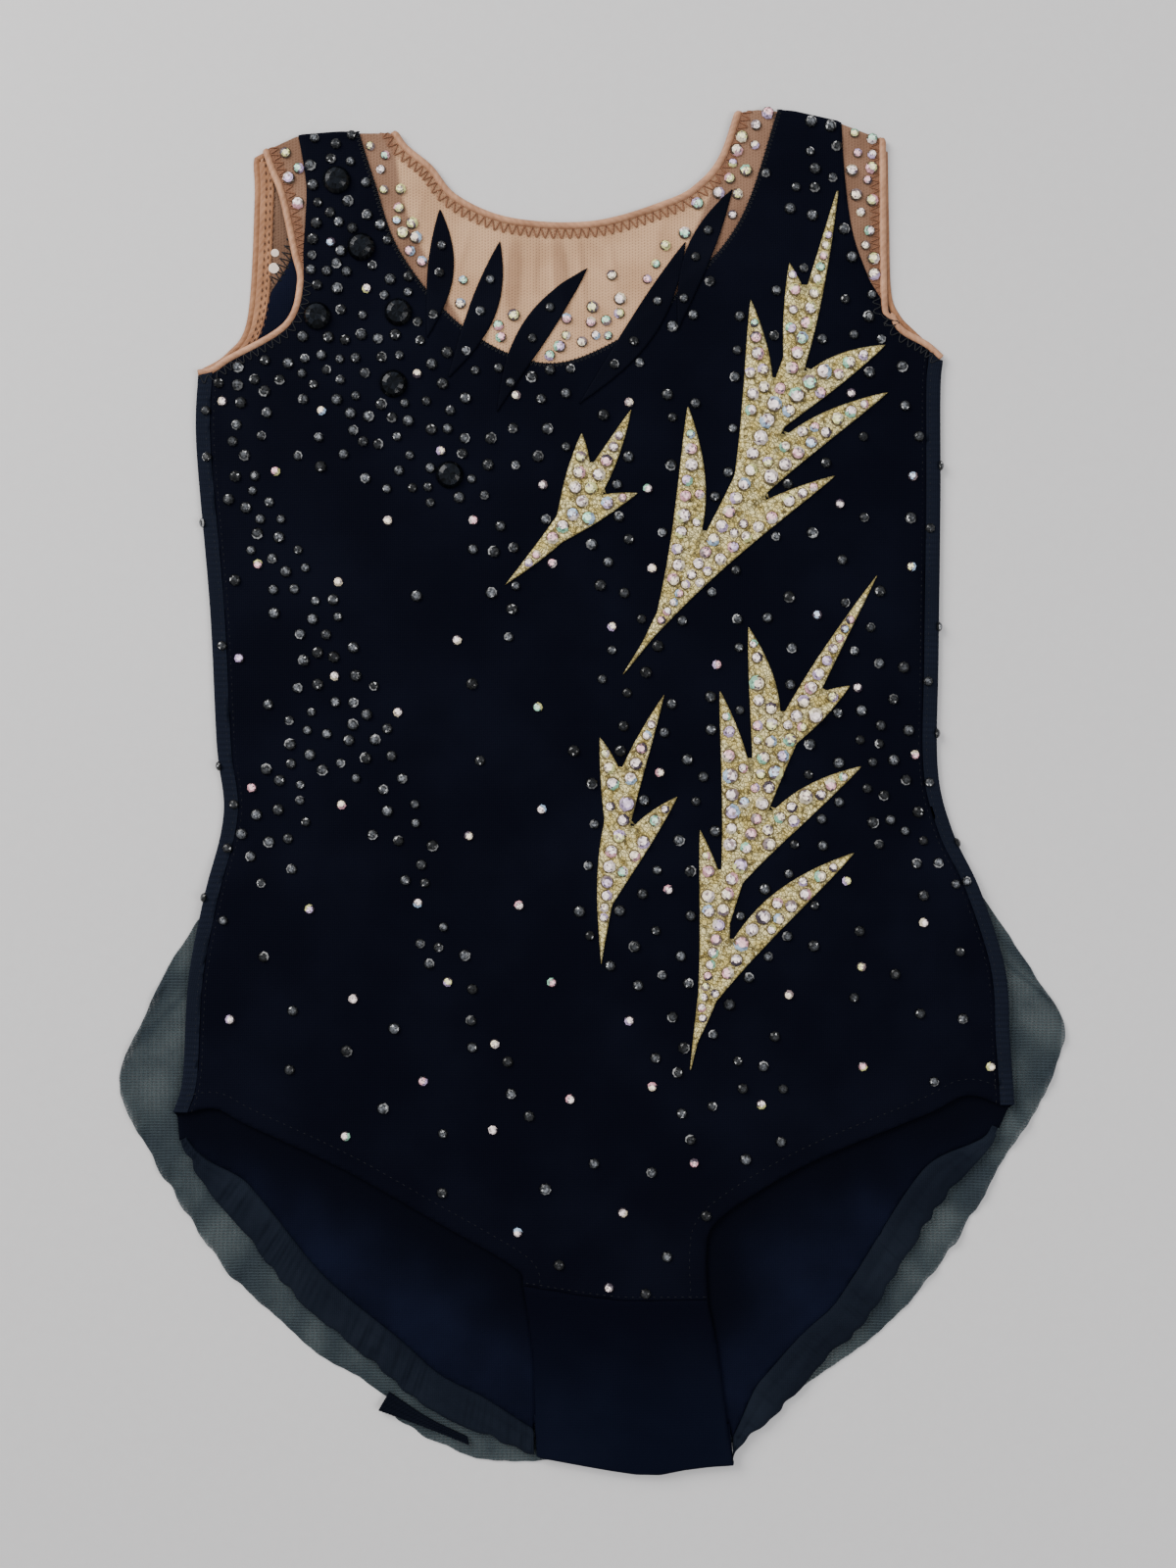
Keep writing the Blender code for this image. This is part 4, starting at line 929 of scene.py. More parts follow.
def lined_cloth(name, outside, inside_colour):
    """The back: black outside with fine ribs, navy lining inside, with painted shade under the front's
    edges.
    """
    finish = Finish(name, Specular_IOR_Level=0.03, Sheen_Weight=0.015, Sheen_Roughness=0.5,
                    Sheen_Tint=(0.35, 0.45, 0.70, 1.0))
    cut, x, y = finish.cut()
    weave = knit(finish, x, y, 0.8, 0.8)
    clouds = finish.noise(cut, 30.0, 3.0).between(0.3, 0.75)
    fuzz = finish.noise(cut, 1.4, 2.0, 0.7)
    ribs = (y + clouds * 0.5).sine(2.1) * clouds
    ribbed = finish.mix(ribs * 0.5 + weave * 0.3, outside, scaled(outside, 1.9))
    open_lining = finish.mix(clouds * 0.7 + weave * 0.3, inside_colour, scaled(inside_colour, 2.0))
    # Painted shade: the lining is drawn darker beside the front's leg edges, as if shaded by the front.
    lining = finish.mix(finish.mark("down"), (0.0010, 0.0013, 0.0040), open_lining)
    colour = finish.mix(finish.mark("top"), ribbed, lining)
    normal = finish.relief(weave * 0.6 + fuzz * 0.7, 0.12)
    return finish.show(Base_Color=colour, Roughness=0.7 + 0.2 * fuzz, Normal=normal)


def skin_mesh(name, tone=1.0):
    """Fine see-through mesh: holes in rows; darker where doubled, partly the second layer and partly painted
    shade; painted shade on creases; darker where it is turned in.
    """
    def toned(*colour):
        return scaled(colour, tone)

    finish = Finish(name, Specular_IOR_Level=0.12)
    cut, x, y = finish.cut()
    holes = x.sine(1.1) * (y + x.sine(2.2) * 0.55).sine(1.1)
    clouds = finish.noise(cut, 16.0, 3.0)
    single = finish.mix(clouds.between(0.35, 0.7), toned(0.62, 0.378, 0.220), toned(0.51, 0.300, 0.170))
    doubled_with_shade = finish.mix(clouds.between(0.35, 0.7), toned(0.235, 0.130, 0.082), toned(0.172, 0.092, 0.057))
    # Darker where the mesh lies doubled: partly the second layer, partly painted shade of the layer beneath.
    threads = finish.mix(finish.mark("doubled").between(0.0, 1.0), single, doubled_with_shade)
    # Painted shade on the mesh's creases.
    shaded = finish.mix(finish.mark("creased").between(0.1, 1.0) * 0.45, threads, toned(0.20, 0.095, 0.052))
    turned = finish.mix(finish.mark("turned") * 0.55, shaded, toned(0.19, 0.080, 0.042))
    colour = finish.mix(holes.between(0.35, 0.95) * 0.30, turned, toned(0.24, 0.115, 0.065))
    alpha = 0.80 + 0.12 * finish.mark("doubled") - 0.30 * holes.between(0.5, 0.95)
    return finish.show(Base_Color=colour, Alpha=alpha, Roughness=0.66 + 0.2 * clouds,
                       Normal=finish.relief(1 - holes, 0.12))


def satin(name, colour_low, colour_high, gloss):
    """Satin binding: smooth and unevenly worn, with a few shallow slanting puckers."""
    finish = Finish(name, Specular_IOR_Level=gloss, Sheen_Weight=0.2 * gloss)
    cut, x, y = finish.cut()
    slant = (x + y * 0.9 + finish.noise(cut, 9.0) * 5.0).sine(2.7)
    grain = finish.noise(cut, 0.9, 3.0)
    share = slant * 0.2 + grain * 0.3 + finish.noise(cut, 10.0).between(0.3, 0.7) * 0.55
    return finish.show(Base_Color=finish.mix(share, colour_low, colour_high),
                       Roughness=0.42 + 0.2 * grain, Normal=finish.relief(slant * 0.35 + grain * 0.5, 0.14))


def thread(name, colour):
    """Sewing thread: two plies twisted round each other."""
    finish = Finish(name, Specular_IOR_Level=0.3)
    ply = finish.noise(finish.place(), 0.0006, 2.0)
    return finish.show(Base_Color=finish.mix(ply.between(0.3, 0.7), scaled(colour, 0.6), colour),
                       Roughness=0.55 + 0.2 * ply, Normal=finish.relief(ply, 0.05))


def sheer_net(name):
    """Sheer black knit net: rows of close fine loops, denser where it laps over itself in folds."""
    finish = Finish(name, Specular_IOR_Level=0.2)
    cut, x, y = finish.cut()
    wander = finish.noise(cut, 20.0) * 2.0
    level = (y + wander * 0.6).sine(1.05)
    upright = (x + wander + level * 0.5).sine(1.55)
    gaps = (1 - upright ** 2.0) * (1 - level ** 2.0)
    waves = finish.noise(cut, 22.0, 3.0).between(0.35, 0.68)
    slub = finish.noise(cut, 2.4, 3.0, 0.7)
    lapped = finish.mark("lapped")
    alpha = 0.47 + 0.15 * waves + 0.14 * level + 0.08 * upright - 0.16 * gaps + 0.14 * slub + 0.22 * lapped
    pale = finish.mix(waves, (0.072, 0.098, 0.104), (0.031, 0.045, 0.054))
    knitted = finish.mix(slub * 0.5 + level * 0.5, (0.010, 0.016, 0.020), pale)
    colour = finish.mix(lapped * 0.6, knitted, (0.010, 0.015, 0.022))
    return finish.show(Base_Color=colour, Alpha=alpha, Roughness=0.75 + 0.15 * slub,
                       Normal=finish.relief(upright * 0.4 + level * 0.6, 0.15))


def gold_lace(name):
    """Gold foil lace: cords of foil round small dark openings, with painted highlights in broad patches and
    painted shade in its folds and fine lines.
    """
    finish = Finish(name, Specular_IOR_Level=0.5, Metallic=0.4)
    cut = finish.mark("cut", 1)
    edges = finish.cells(cut, 1.5, "DISTANCE_TO_EDGE")
    cracks = 1 - edges.between(0.015, 0.12)
    nets = finish.cells(cut, 0.75, "DISTANCE_TO_EDGE")
    fine = 1 - nets.between(0.02, 0.16)
    foil_gleam = finish.noise(cut, 5.0, 4.0, 0.6).between(0.42, 0.60)
    grain = finish.noise(cut, 0.8, 3.0, 0.6)
    folds = finish.noise(cut, 2.6, 4.0, 0.65)
    # Painted highlights: broad patches of paler gold stand in for the crinkled foil catching the light.
    light = finish.mix(foil_gleam * 0.75 + grain * 0.25, (1.0, 0.86, 0.43), (0.62, 0.47, 0.12))
    # Painted shade: the foil is drawn darker in its folds and, below, along its fine lines.
    foil = finish.mix(folds.between(0.50, 0.62), light, (0.22, 0.155, 0.034))
    shaded = finish.mix(fine * 0.40, foil, (0.15, 0.112, 0.024))
    netted = finish.mix(cracks * 0.78, shaded, (0.042, 0.033, 0.010))
    frayed = (1 - finish.mark("edge").between(0.15, 0.75)) * 0.6
    colour = finish.mix(frayed, netted, (0.085, 0.068, 0.022))
    normal = finish.relief(edges.between(0.0, 0.2) * 0.5 + grain * 0.35 + folds * 1.8, 0.3)
    return finish.show(Base_Color=colour, Roughness=0.36 + 0.22 * grain + 0.2 * cracks, Normal=normal)


def cut_glass(name, **constants):
    """Cut stones: each facet keeps its own colour, and a little haze lies on the glass."""
    finish = Finish(name, **constants)
    haze = finish.noise(finish.place(), 0.0011, 2.0)
    facet = finish.mark("facet", 0)
    dusty = finish.node("ShaderNodeVectorMath", {"operation": "SCALE"}, {0: facet, 3: 0.7})
    colour = finish.mix(haze.between(0.45, 0.75) * 0.6, facet, dusty)
    return finish.show(Base_Color=colour, Roughness=0.10 + 0.18 * haze)


def stone_back(name):
    """Foil backs of stones set on the far side: pale cream, slightly rough."""
    finish = Finish(name, Specular_IOR_Level=0.4, Metallic=0.2)
    grain = finish.noise(finish.place(), 0.0012, 3.0)
    return finish.show(Base_Color=finish.mix(grain, (0.60, 0.48, 0.39), (0.80, 0.66, 0.56)),
                       Roughness=0.35 + 0.2 * grain)


def table_top(name):
    """A plain pale table with a faint grain."""
    finish = Finish(name, Specular_IOR_Level=0.25)
    grain = finish.noise(finish.place(), 0.004, 3.0, 0.6)
    return finish.show(Base_Color=finish.mix(grain, (0.590, 0.575, 0.575), (0.630, 0.615, 0.613)),
                       Roughness=0.5 + 0.1 * grain)


BLACK_CLOTH = black_cloth("black_stretch_cloth", (0.0010, 0.0012, 0.0038), (0.0030, 0.0036, 0.0088), 0.006)
POINT_CLOTH = black_cloth("black_point_cloth", (0.0012, 0.0014, 0.0038), (0.0034, 0.0040, 0.0090), 0.008)
GUSSET_CLOTH = black_cloth("navy_gusset_cloth", (0.0016, 0.0023, 0.0074), (0.0041, 0.0056, 0.0138), 0.010,
                           (0.0012, 0.0015, 0.0048))
HEM_CLOTH = black_cloth("navy_hem_cloth", (0.0033, 0.0045, 0.0088), (0.0105, 0.0140, 0.0220), 0.02)
STRIP_CLOTH = black_cloth("black_elastic", (0.0014, 0.0019, 0.0046), (0.0045, 0.0058, 0.0105), 0.02)
LINED_CLOTH = lined_cloth("back_cloth", (0.0047, 0.0060, 0.0112), (0.0021, 0.0028, 0.0081))
SKIN_MESH = skin_mesh("skin_mesh")
# Painted shade: the back straps' mesh is drawn darker all over, as if in the front's shade.
SHADED_STRAP_MESH = skin_mesh("shaded_skin_mesh", 0.68)
SATIN = satin("skin_satin", (0.26, 0.118, 0.060), (0.50, 0.264, 0.150), 0.28)
DULL_SATIN = satin("dull_satin", (0.195, 0.084, 0.040), (0.36, 0.175, 0.090), 0.12)
BROWN_THREAD = thread("brown_thread", (0.25, 0.105, 0.052))
DARK_THREAD = thread("dark_brown_thread", (0.105, 0.046, 0.025))
SKIN_THREAD = thread("skin_thread", (0.44, 0.225, 0.120))
BLACK_THREAD = thread("black_thread", (0.0030, 0.0038, 0.0070))
SHEER_NET = sheer_net("sheer_black_net")
GOLD_LACE = gold_lace("gold_foil_lace")
GREY_GLASS = cut_glass("grey_glass", Specular_IOR_Level=0.28)
CLEAR_GLASS = cut_glass("clear_glass", Specular_IOR_Level=0.5)
BLACK_GLASS = cut_glass("black_glass", Specular_IOR_Level=0.14)
FOIL_BACK = stone_back("stone_foil_back")

# The finishes of each of the record's material slots
SLOTS = {"black_cloth": [BLACK_CLOTH, POINT_CLOTH, STRIP_CLOTH, LINED_CLOTH, BLACK_THREAD],
         "navy_cloth": [GUSSET_CLOTH, HEM_CLOTH], "skin_mesh": [SKIN_MESH, SHADED_STRAP_MESH],
         "skin_binding": [SATIN, DULL_SATIN, BROWN_THREAD, DARK_THREAD, SKIN_THREAD],
         "sheer_net": [SHEER_NET], "gold_lace": [GOLD_LACE],
         "black_stone": [GREY_GLASS, CLEAR_GLASS, BLACK_GLASS, FOIL_BACK]}


# Pieces of the front

neck = to_shoulders(NECK_FRONT, front_end)
neck_seam = sideways(neck, -BINDING_WIDTH)
arm_left = from_shoulder(ARMHOLE_FRONT_LEFT, front_end)
arm_left_seam = sideways(arm_left, BINDING_WIDTH)
arm_right = from_shoulder(ARMHOLE_FRONT_RIGHT, front_end)
arm_right_seam = sideways(arm_right, -BINDING_WIDTH)
meet_left = nearest_corner(arm_left_seam, Spot(-105.8, 186.0))
meet_right = nearest_corner(arm_right_seam, Spot(105.3, 179.0))
band_left = np.vstack([from_shoulder(BAND_FRONT_LEFT, front_end), arm_left_seam[meet_left]])
band_right = np.vstack([from_shoulder(BAND_FRONT_RIGHT, front_end), arm_right_seam[meet_right]])
yoke_edge = to_shoulders(YOKE_FRONT, front_end)


def cut_at_seam(line, side, way):
    """The line up to the side seam, ending on it."""
    seam = side(line[:, 1]) - way * FLANGE
    kept = line[way * (seam - line[:, 0]) > 0.3]
    x = float(side(line[-1, 1]) - way * FLANGE)
    return np.vstack([kept, [x, height_of(line[-20:])(x)]])


def side_seam(side, way, top, bottom):
    y = np.linspace(top, bottom, int((top - bottom) / 2.0))
    return np.column_stack([side(y) - way * FLANGE, y])


under_left = cut_at_seam(arm_left_seam[meet_left:], side_left, -1)
under_right = cut_at_seam(arm_right_seam[meet_right:], side_right, 1)
seam_left = side_seam(side_left, -1, under_left[-1, 1], LEG_FRONT_LEFT[0].y)
seam_right = side_seam(side_right, 1, under_right[-1, 1], LEG_FRONT_RIGHT[0].y)
leg_left, leg_right = curve(LEG_FRONT_LEFT), curve(LEG_FRONT_RIGHT)
gusset_seam = curve(GUSSET_SEAM)

body_loop = ring(under_left[::-1], band_left[::-1], across(band_left[0, 0], yoke_edge[0, 0], front_end),
                 yoke_edge, across(yoke_edge[-1, 0], band_right[0, 0], front_end), band_right, under_right,
                 seam_right, leg_right, gusset_seam[::-1], leg_left[::-1], seam_left[::-1])
front_body = panel("front_body_cloth", shoulder_grid(-152.0, 152.0, -192.0, 1.9), [body_loop], lay_front,
                   BLACK_UNDER, CLOTH, BLACK_CLOTH, ["front_body"])


def back_covered(x, y):
    """1 where the back lies under the front's mesh, softly down to 0 where only the table does; the mesh is
    drawn darker there, partly as painted shade.
    """
    opening = curve(NECK_BACK, 4.0)
    away = away_from(x, y, opening)
    return smoothstep(0.5 - np.where(inside(np.column_stack([x, y]), opening), away, -away) / 3.0)


UNDER_BLACK = 4.0                 # how far the mesh reaches under the black cloth
yoke_loop = between_edges(sideways(yoke_edge, -UNDER_BLACK), sideways(neck, -0.5 * BINDING_WIDTH), front_end)


# The whole piece lies doubled, so its mesh is drawn darker, partly as painted shade.
def doubled_here(x, y):
    return np.ones_like(x)


def creased(x, y):
    """Painted shade: where the mesh is drawn into creases, which are drawn darker."""
    points = np.column_stack([x, y])
    return np.clip(ridges(points, FRONT_CREASES + SOFT_FOLDS) / 0.45, 0, 1)


def turned_in(*edges):
    """A mark that is 1 where the mesh is turned in beside its bindings."""
    def mark(x, y):
        return smoothstep((BINDING_WIDTH + TURNED_WIDTH - away_from(x, y, *edges)) / 0.9 + 0.5)
    return mark


front_yoke = panel("front_yoke_mesh", shoulder_grid(-96.0, 78.0, 146.0, 1.0), [yoke_loop], lay_front, 0.0,
                   MESH_TOP, SKIN_MESH, ["front_yoke"], doubled=back_covered, creased=creased,
                   turned=turned_in(neck))


strap_pieces, strap_cuts = [], []
STRAPS_LIE_ON = (["back_strap_outer_left"], ["back_strap_outer_right"], [], [])
for name, band, edge, stop, way in (("front_strap_outer_left", band_left, arm_left, meet_left, 1),
                                    ("front_strap_outer_right", band_right, arm_right, meet_right, -1)):
    inner = sideways(band, way * UNDER_BLACK)
    outer = sideways(edge, way * 0.5 * BINDING_WIDTH)[:stop + 4]
    loop = strap_outline(inner, outer, front_end)
    grid = shoulder_grid(loop[:, 0].min() - 2, loop[:, 0].max() + 2, loop[:, 1].min() - 2, 1.2)
    strap_cuts.append(loop)
    strap_pieces.append(panel(name + "_mesh", grid, [loop], lay_front, 0.0, MESH_TOP, SKIN_MESH,
                              [name], doubled=doubled_here, turned=turned_in(edge)))

neck_roll = roll("neck_binding_front", neck, -1, lay_front, SATIN)
arm_roll_left = roll("armhole_binding_front_left", arm_left, 1, lay_front, SATIN)
arm_roll_right = roll("armhole_binding_front_right", arm_right, -1, lay_front, SATIN)

gusset_loop = ring(gusset_seam, curve(GUSSET_RIGHT), across(*GUSSET_TAIL, gusset_end),
                   curve(GUSSET_LEFT)[::-1])


def down_gusset(x, y):
    """0 at the gusset's seam to the front, unevenly up to 1 near the crotch."""
    return smoothstep((-188.0 - y + 5.0 * waver(x, y, 22.0, 14)) / 48.0)


gusset = panel("gusset_cloth", crotch_grid(-32.0, 58.0, -176.0, 1.6), [gusset_loop], lay_front, 0.0, CLOTH,
               GUSSET_CLOTH, ["gusset"], down=down_gusset)


# Pieces of the back

def flange_edge(side, way, top_line, bottom):
    """The back's edge round one side, in its pattern: up the flange, then in along the armhole."""
    reach = pi * FOLD_MID + FLANGE - FOLD_OUT
    out = np.linspace(0.0, 1.0, 8) * reach
    y_top = top_line[-1, 1]
    beyond = np.maximum(out - pi * FOLD_MID, 0)
    laid = side(y_top) - way * (FOLD_OUT * (1 - np.sin(np.clip(out / FOLD_MID, 0, pi))) + beyond)
    y = np.minimum(height_of(top_line[-20:])(laid), y_top + FLANGE)
    top = np.column_stack([side(y) - way * (FOLD_OUT - out), y])
    down = np.linspace(y[-1], bottom, int((y[-1] - bottom) / 2.0))[1:]
    edge = np.column_stack([side(down) - way * (FOLD_OUT - reach), down])
    foot = [side(bottom) - way * FOLD_OUT, bottom]
    return np.vstack([top, edge, foot])


def hem_lines(points, way, end_width, end_x):
    """A hem's outer edge and its seam to the back, from the side to the crotch."""
    outer = curve(points, 1.5)
    length = lengths(outer)
    width = HEM_START_WIDTH + (HEM_WIDTH - HEM_START_WIDTH) * smoothstep(length / HEM_TAPER)
    width += (end_width - HEM_WIDTH) * smoothstep((length - length[-1] + HEM_TAPER) / HEM_TAPER)
    inner = sideways(outer, -way * width)
    inner[:, 0] = way * np.maximum(way * inner[:, 0], way * end_x)
    return outer, inner


def lay_back_cloth(x, y, out):
    """The back as its solid lies, its upper face wrinkled inside the leg openings."""
    laid = lay_back(x, y, out)
    points = np.column_stack([np.ravel(x), np.ravel(y)])
    shown = smoothstep((-112.0 - points[:, 1]) / 14.0) * smoothstep((points[:, 1] + 234.0) / 8.0)
    swell = ridges(points, BACK_FOLDS) + 0.10 * (1 + waver(points[:, 0], points[:, 1], 16.0, 9))
    laid[..., 2] += shown * swell * np.ravel(out) / CLOTH
    return laid


back_neck = to_shoulders(NECK_BACK, back_end)
back_neck_seam = sideways(back_neck, -BINDING_WIDTH)
back_arm_left = curve(ARMHOLE_BACK_LEFT)
back_arm_left_seam = sideways(back_arm_left, BINDING_WIDTH)
back_arm_right = from_shoulder(ARMHOLE_BACK_RIGHT, back_end)
back_arm_right_seam = sideways(back_arm_right, -BINDING_WIDTH)
back_meet_left = nearest_corner(back_arm_left_seam, Spot(-124.0, 173.0))
back_meet_right = nearest_corner(back_arm_right_seam, Spot(107.0, 180.0))
back_band_left = np.vstack([from_shoulder(BAND_BACK_LEFT, back_end), back_arm_left_seam[back_meet_left]])
back_band_right = np.vstack([from_shoulder(BAND_BACK_RIGHT, back_end), back_arm_right_seam[back_meet_right]])
back_yoke_edge = to_shoulders(YOKE_BACK, back_end)
hem_out_left, hem_in_left = hem_lines(LEG_BACK_LEFT, -1, HEM_END_LEFT, LEG_BACK_LEFT[-1].x)
hem_out_right, hem_in_right = hem_lines(LEG_BACK_RIGHT + CROTCH_CORNER, 1, HEM_END_RIGHT, HEM_STOP)

back_loop = ring(flange_edge(side_left, -1, back_arm_left_seam, LEG_FRONT_LEFT[0].y)[::-1],
                 back_arm_left_seam[back_meet_left:][:-1][::-1], back_band_left[::-1],
                 across(back_band_left[0, 0], back_yoke_edge[0, 0], back_end), back_yoke_edge,
                 across(back_yoke_edge[-1, 0], back_band_right[0, 0], back_end), back_band_right,
                 back_arm_right_seam[back_meet_right:][:-1],
                 flange_edge(side_right, 1, back_arm_right_seam, LEG_FRONT_RIGHT[0].y),
                 hem_out_right[:1], hem_in_right, across(*CROTCH_SEAM, crotch_seam), hem_in_left[::-1],
                 hem_out_left[:1])


def shade_in_opening(x, y):
    """Painted shade in the leg openings: 0, darkest, beside the front's edge and 1 some way down from it."""
    away = away_from(x, y, leg_left, leg_right)
    return smoothstep((away + 6.0 * waver(x, y, 26.0, 15) - 2.0) / 34.0)


back_body = panel("back_body_cloth", back_grid(2.5), [back_loop], lay_back_cloth, 0.0, BACK_WALL,
                  LINED_CLOTH, ["back_body"], down=shade_in_opening)

back_yoke_loop = between_edges(back_yoke_edge, back_neck_seam, back_end)
back_yoke = panel("back_yoke_mesh", level_grid(-92.0, 74.0, 120.0, 250.0, 1.8), [back_yoke_loop],
                  lay_back, 0.0, BACK_MESH_WALL, SKIN_MESH, ["back_yoke"], doubled=doubled_here,
                  turned=turned_in(back_neck))
for name, band, seam, first, stop in (
        ("back_strap_outer_left", back_band_left, back_arm_left_seam, 1, back_meet_left),
        ("back_strap_outer_right", back_band_right, back_arm_right_seam, 0, back_meet_right)):
    loop = strap_outline(band, seam[:stop + 1], back_end, first)
    strap_cuts.append(loop)
    strap_pieces.append(panel(name + "_mesh", grid_round([loop], 2, 1.5), [loop], lay_back, 0.0,
                              BACK_MESH_WALL, SHADED_STRAP_MESH, [name], doubled=doubled_here,
                              turned=turned_in(back_arm_left, back_arm_right)))
back_rolls = [roll("neck_binding_back", back_neck, -1, lay_flat, SATIN),
              roll("armhole_binding_back_left", curve(SHOULDER_CORNER + ARMHOLE_BACK_LEFT), 1, lay_flat,
                   DULL_SATIN),
              roll("armhole_binding_back_right", back_arm_right, -1, lay_flat, DULL_SATIN)]


def across_facing(line, part):
    """The armhole's line moved in by a share of the facing's width, which narrows downwards."""
    down = lengths(line) / lengths(line)[-1]
    reach = FACING_WIDTH - FACING_NARROWS * smoothstep((down - 0.55) / 0.45)
    near = BINDING_WIDTH - FACING_LAP
    return sideways(line, near + (reach - near) * part)


facing_line = even(back_arm_left, SATIN_STEP)


def armhole_facing(line):
    """The binding of the left back armhole, turned in as a flat satin band with a sewn groove."""
    length, part = lengths(line), np.linspace(0, 1, SATIN_CELLS)
    grid = np.stack([across_facing(line, p) for p in part], axis=1)
    groove = 1 - 0.6 * np.exp(-((part - FACING_GROOVE) / 0.09) ** 2)
    pucker = 1 + 0.10 * np.sin(2 * pi * length / 3.4)[:, None] * np.sin(pi * part)
    crown = FACING_WALL * groove * round_top(part, 0.2) * pucker
    return shell("armhole_facing", grid.reshape(-1, 2), grid_faces(*grid.shape[:2])[:, ::-1], lay_flat,
                 FACING_UNDER, FACING_UNDER + crown.ravel(), DULL_SATIN,
                 cut=strip_marks(length, FACING_WIDTH, part))


facing = armhole_facing(facing_line)


def ruffled_hem(name, outer, inner, waves, way):
    """A gathered elastic hem: level underneath, with uneven ruffle ridges and fine wrinkles on top."""
    stations, cells = waves * 22, 15
    u, v = share_grid(stations, cells)
    edge, seam = along(outer, u), along(inner, u)
    width = np.linalg.norm(seam - edge, axis=1)
    phase = 2 * pi * (waves * u + 0.30 * wave(u, 3.1) + 0.18 * wave(u, 7.3, way))
    uneven = 0.5 + 0.5 * wave(2.7 * u + 0.6 * wave(u, 4.1, way), 1)
    scallop = 2 * pi * (SCALLOPS * u + 0.45 * wave(u, 3.3, way))
    wobble = HEM_WOBBLE * (0.35 + uneven) * 0.5 * (1 - np.cos(scallop)) * (1 - v)
    place = edge + (seam - edge) * (v + wobble / width * (1 - v))[:, None]
    bump = np.sin(pi * np.clip(0.12 + 0.8 * v, 0, 1))
    slanting = 0.5 + 0.5 * np.cos(2.6 * phase + 5.0 * v + 2.0 * wave(u, 5.7))
    height = HEM_RUFFLE * 0.7 * (0.6 + 0.4 * wave(u, 2.3, way))
    ruffle = height * 0.5 * (1 + np.cos(phase)) * bump + 0.2 * slanting * bump
    middle = 0.42 + 0.20 * wave(u, 1.9, way)
    ruffle += 0.55 * (0.4 + 0.6 * uneven) * np.exp(-((v - middle) / 0.13) ** 2)
    elastic = 0.35 * np.exp(-((v - 0.62) / 0.07) ** 2)
    rim = 0.55 * (np.exp(-(v / 0.05) ** 2) + np.exp(-((1 - v) / 0.05) ** 2))
    faces = grid_faces(cells, stations)[:, ::way]
    return shell(name + "_ruffles", place, faces, lay_flat, 0.0, HEM_WALL + ruffle - elastic - rim,
                 HEM_CLOTH, [name])


hem_left = ruffled_hem("leg_hem_left", hem_out_left, hem_in_left, 22, -1)
hem_right = ruffled_hem("leg_hem_right", hem_out_right, hem_in_right, 21, 1)


# The skirt and the elastic's strip beside it

def sheer_skirt():
    """Between its seam and its hem: closer rows near the hem, which ripples where it is free."""
    hem, seam = curve(SKIRT_HEM, 1.5), curve(SKIRT_SEAM)
    stations, rows = 620, 40
    u, v = share_grid(stations, rows)
    rim, root = along(hem, u), along(seam, u)
    part = 1 - (1 - v) ** 2
    ragged = 0.10 * wave(u, 87, 1.0) + 0.45 * wave(17 * u + wave(u, 5.3), 1)
    outward = unit(rim - root) * (ragged * smoothstep((v - 0.9) / 0.1))[:, None]
    place = root + (rim - root) * part[:, None] + outward
    from_rim = np.linalg.norm(rim - place, axis=1)
    clear = smoothstep((np.abs(rim[:, 0]) - 110.0) / 20.0) * smoothstep((-62.0 - rim[:, 1]) / 16.0)
    wide = 0.5 * (1 + wave(SKIRT_RIPPLES * u + 0.4 * wave(u, 4.3), 1))
    fine = 0.5 * (1 + wave(97 * u + 0.5 * wave(u, 9.1), 1))
    raised = clear * smoothstep(1 - from_rim / SKIRT_RIM) * (SKIRT_RIPPLE * wide + 0.25 * fine)

    lapped = np.zeros(len(u))
    for spot, width, slant, depth in NET_LAPS:
        lapped += depth * np.exp(-((u - spot - slant * (1 - part)) / width) ** 2)

    def lay(x, y, out):
        return np.stack([x, y, raised + out], axis=-1)

    return shell("skirt_net", place, grid_faces(rows, stations)[:, ::-1], lay, 0.0, SKIRT_WALL, SHEER_NET,
                 ["skirt"], lapped=np.clip(lapped, 0, 1))


def elastic_strip():
    """Three cords of elastic side by side, with a slanting rib over them."""
    near, far = curve(STRIP_NEAR), curve(STRIP_FAR)
    stations, rows = 120, 17
    u, v = share_grid(stations, rows)
    place = along(near, u) * (1 - v)[:, None] + along(far, u) * v[:, None]
    over = CLOTH + 0.3 * (1 - np.cos(6 * pi * v)) / 2 + 0.12 * wave(26 * u + 3 * v, 1)
    return shell("elastic_cords", place, grid_faces(rows, stations)[:, ::-1], lay_flat, 0.0, over,
                 STRIP_CLOTH, ["skirt_edge_fold"])


skirt = sheer_skirt()
strip = elastic_strip()


# What lies on the front

def lay_on_front(x, y, out):
    return np.stack([x, y, front_height(x, y) + out], axis=-1)


def on_mesh(x, y):
    """1 well inside the front's skin-coloured yoke and 0 on the black cloth round it."""
    within = inside(np.column_stack([np.ravel(x), np.ravel(y)]), yoke_shown)
    return smoothstep(np.where(within, away_from(x, y, yoke_edge), 0.0) / 5.0).reshape(np.shape(x))


def lay_point(x, y, out):
    """A leaf point: on the black cloth at its base, down on the mesh at its tip."""
    step = on_mesh(x, y) * (TRIM_UNDER - MESH_TOP - 0.06)
    return lay_on_front(x, y, TRIM_UNDER - step + out)


yoke_shown = between_edges(yoke_edge, neck_seam, front_end)

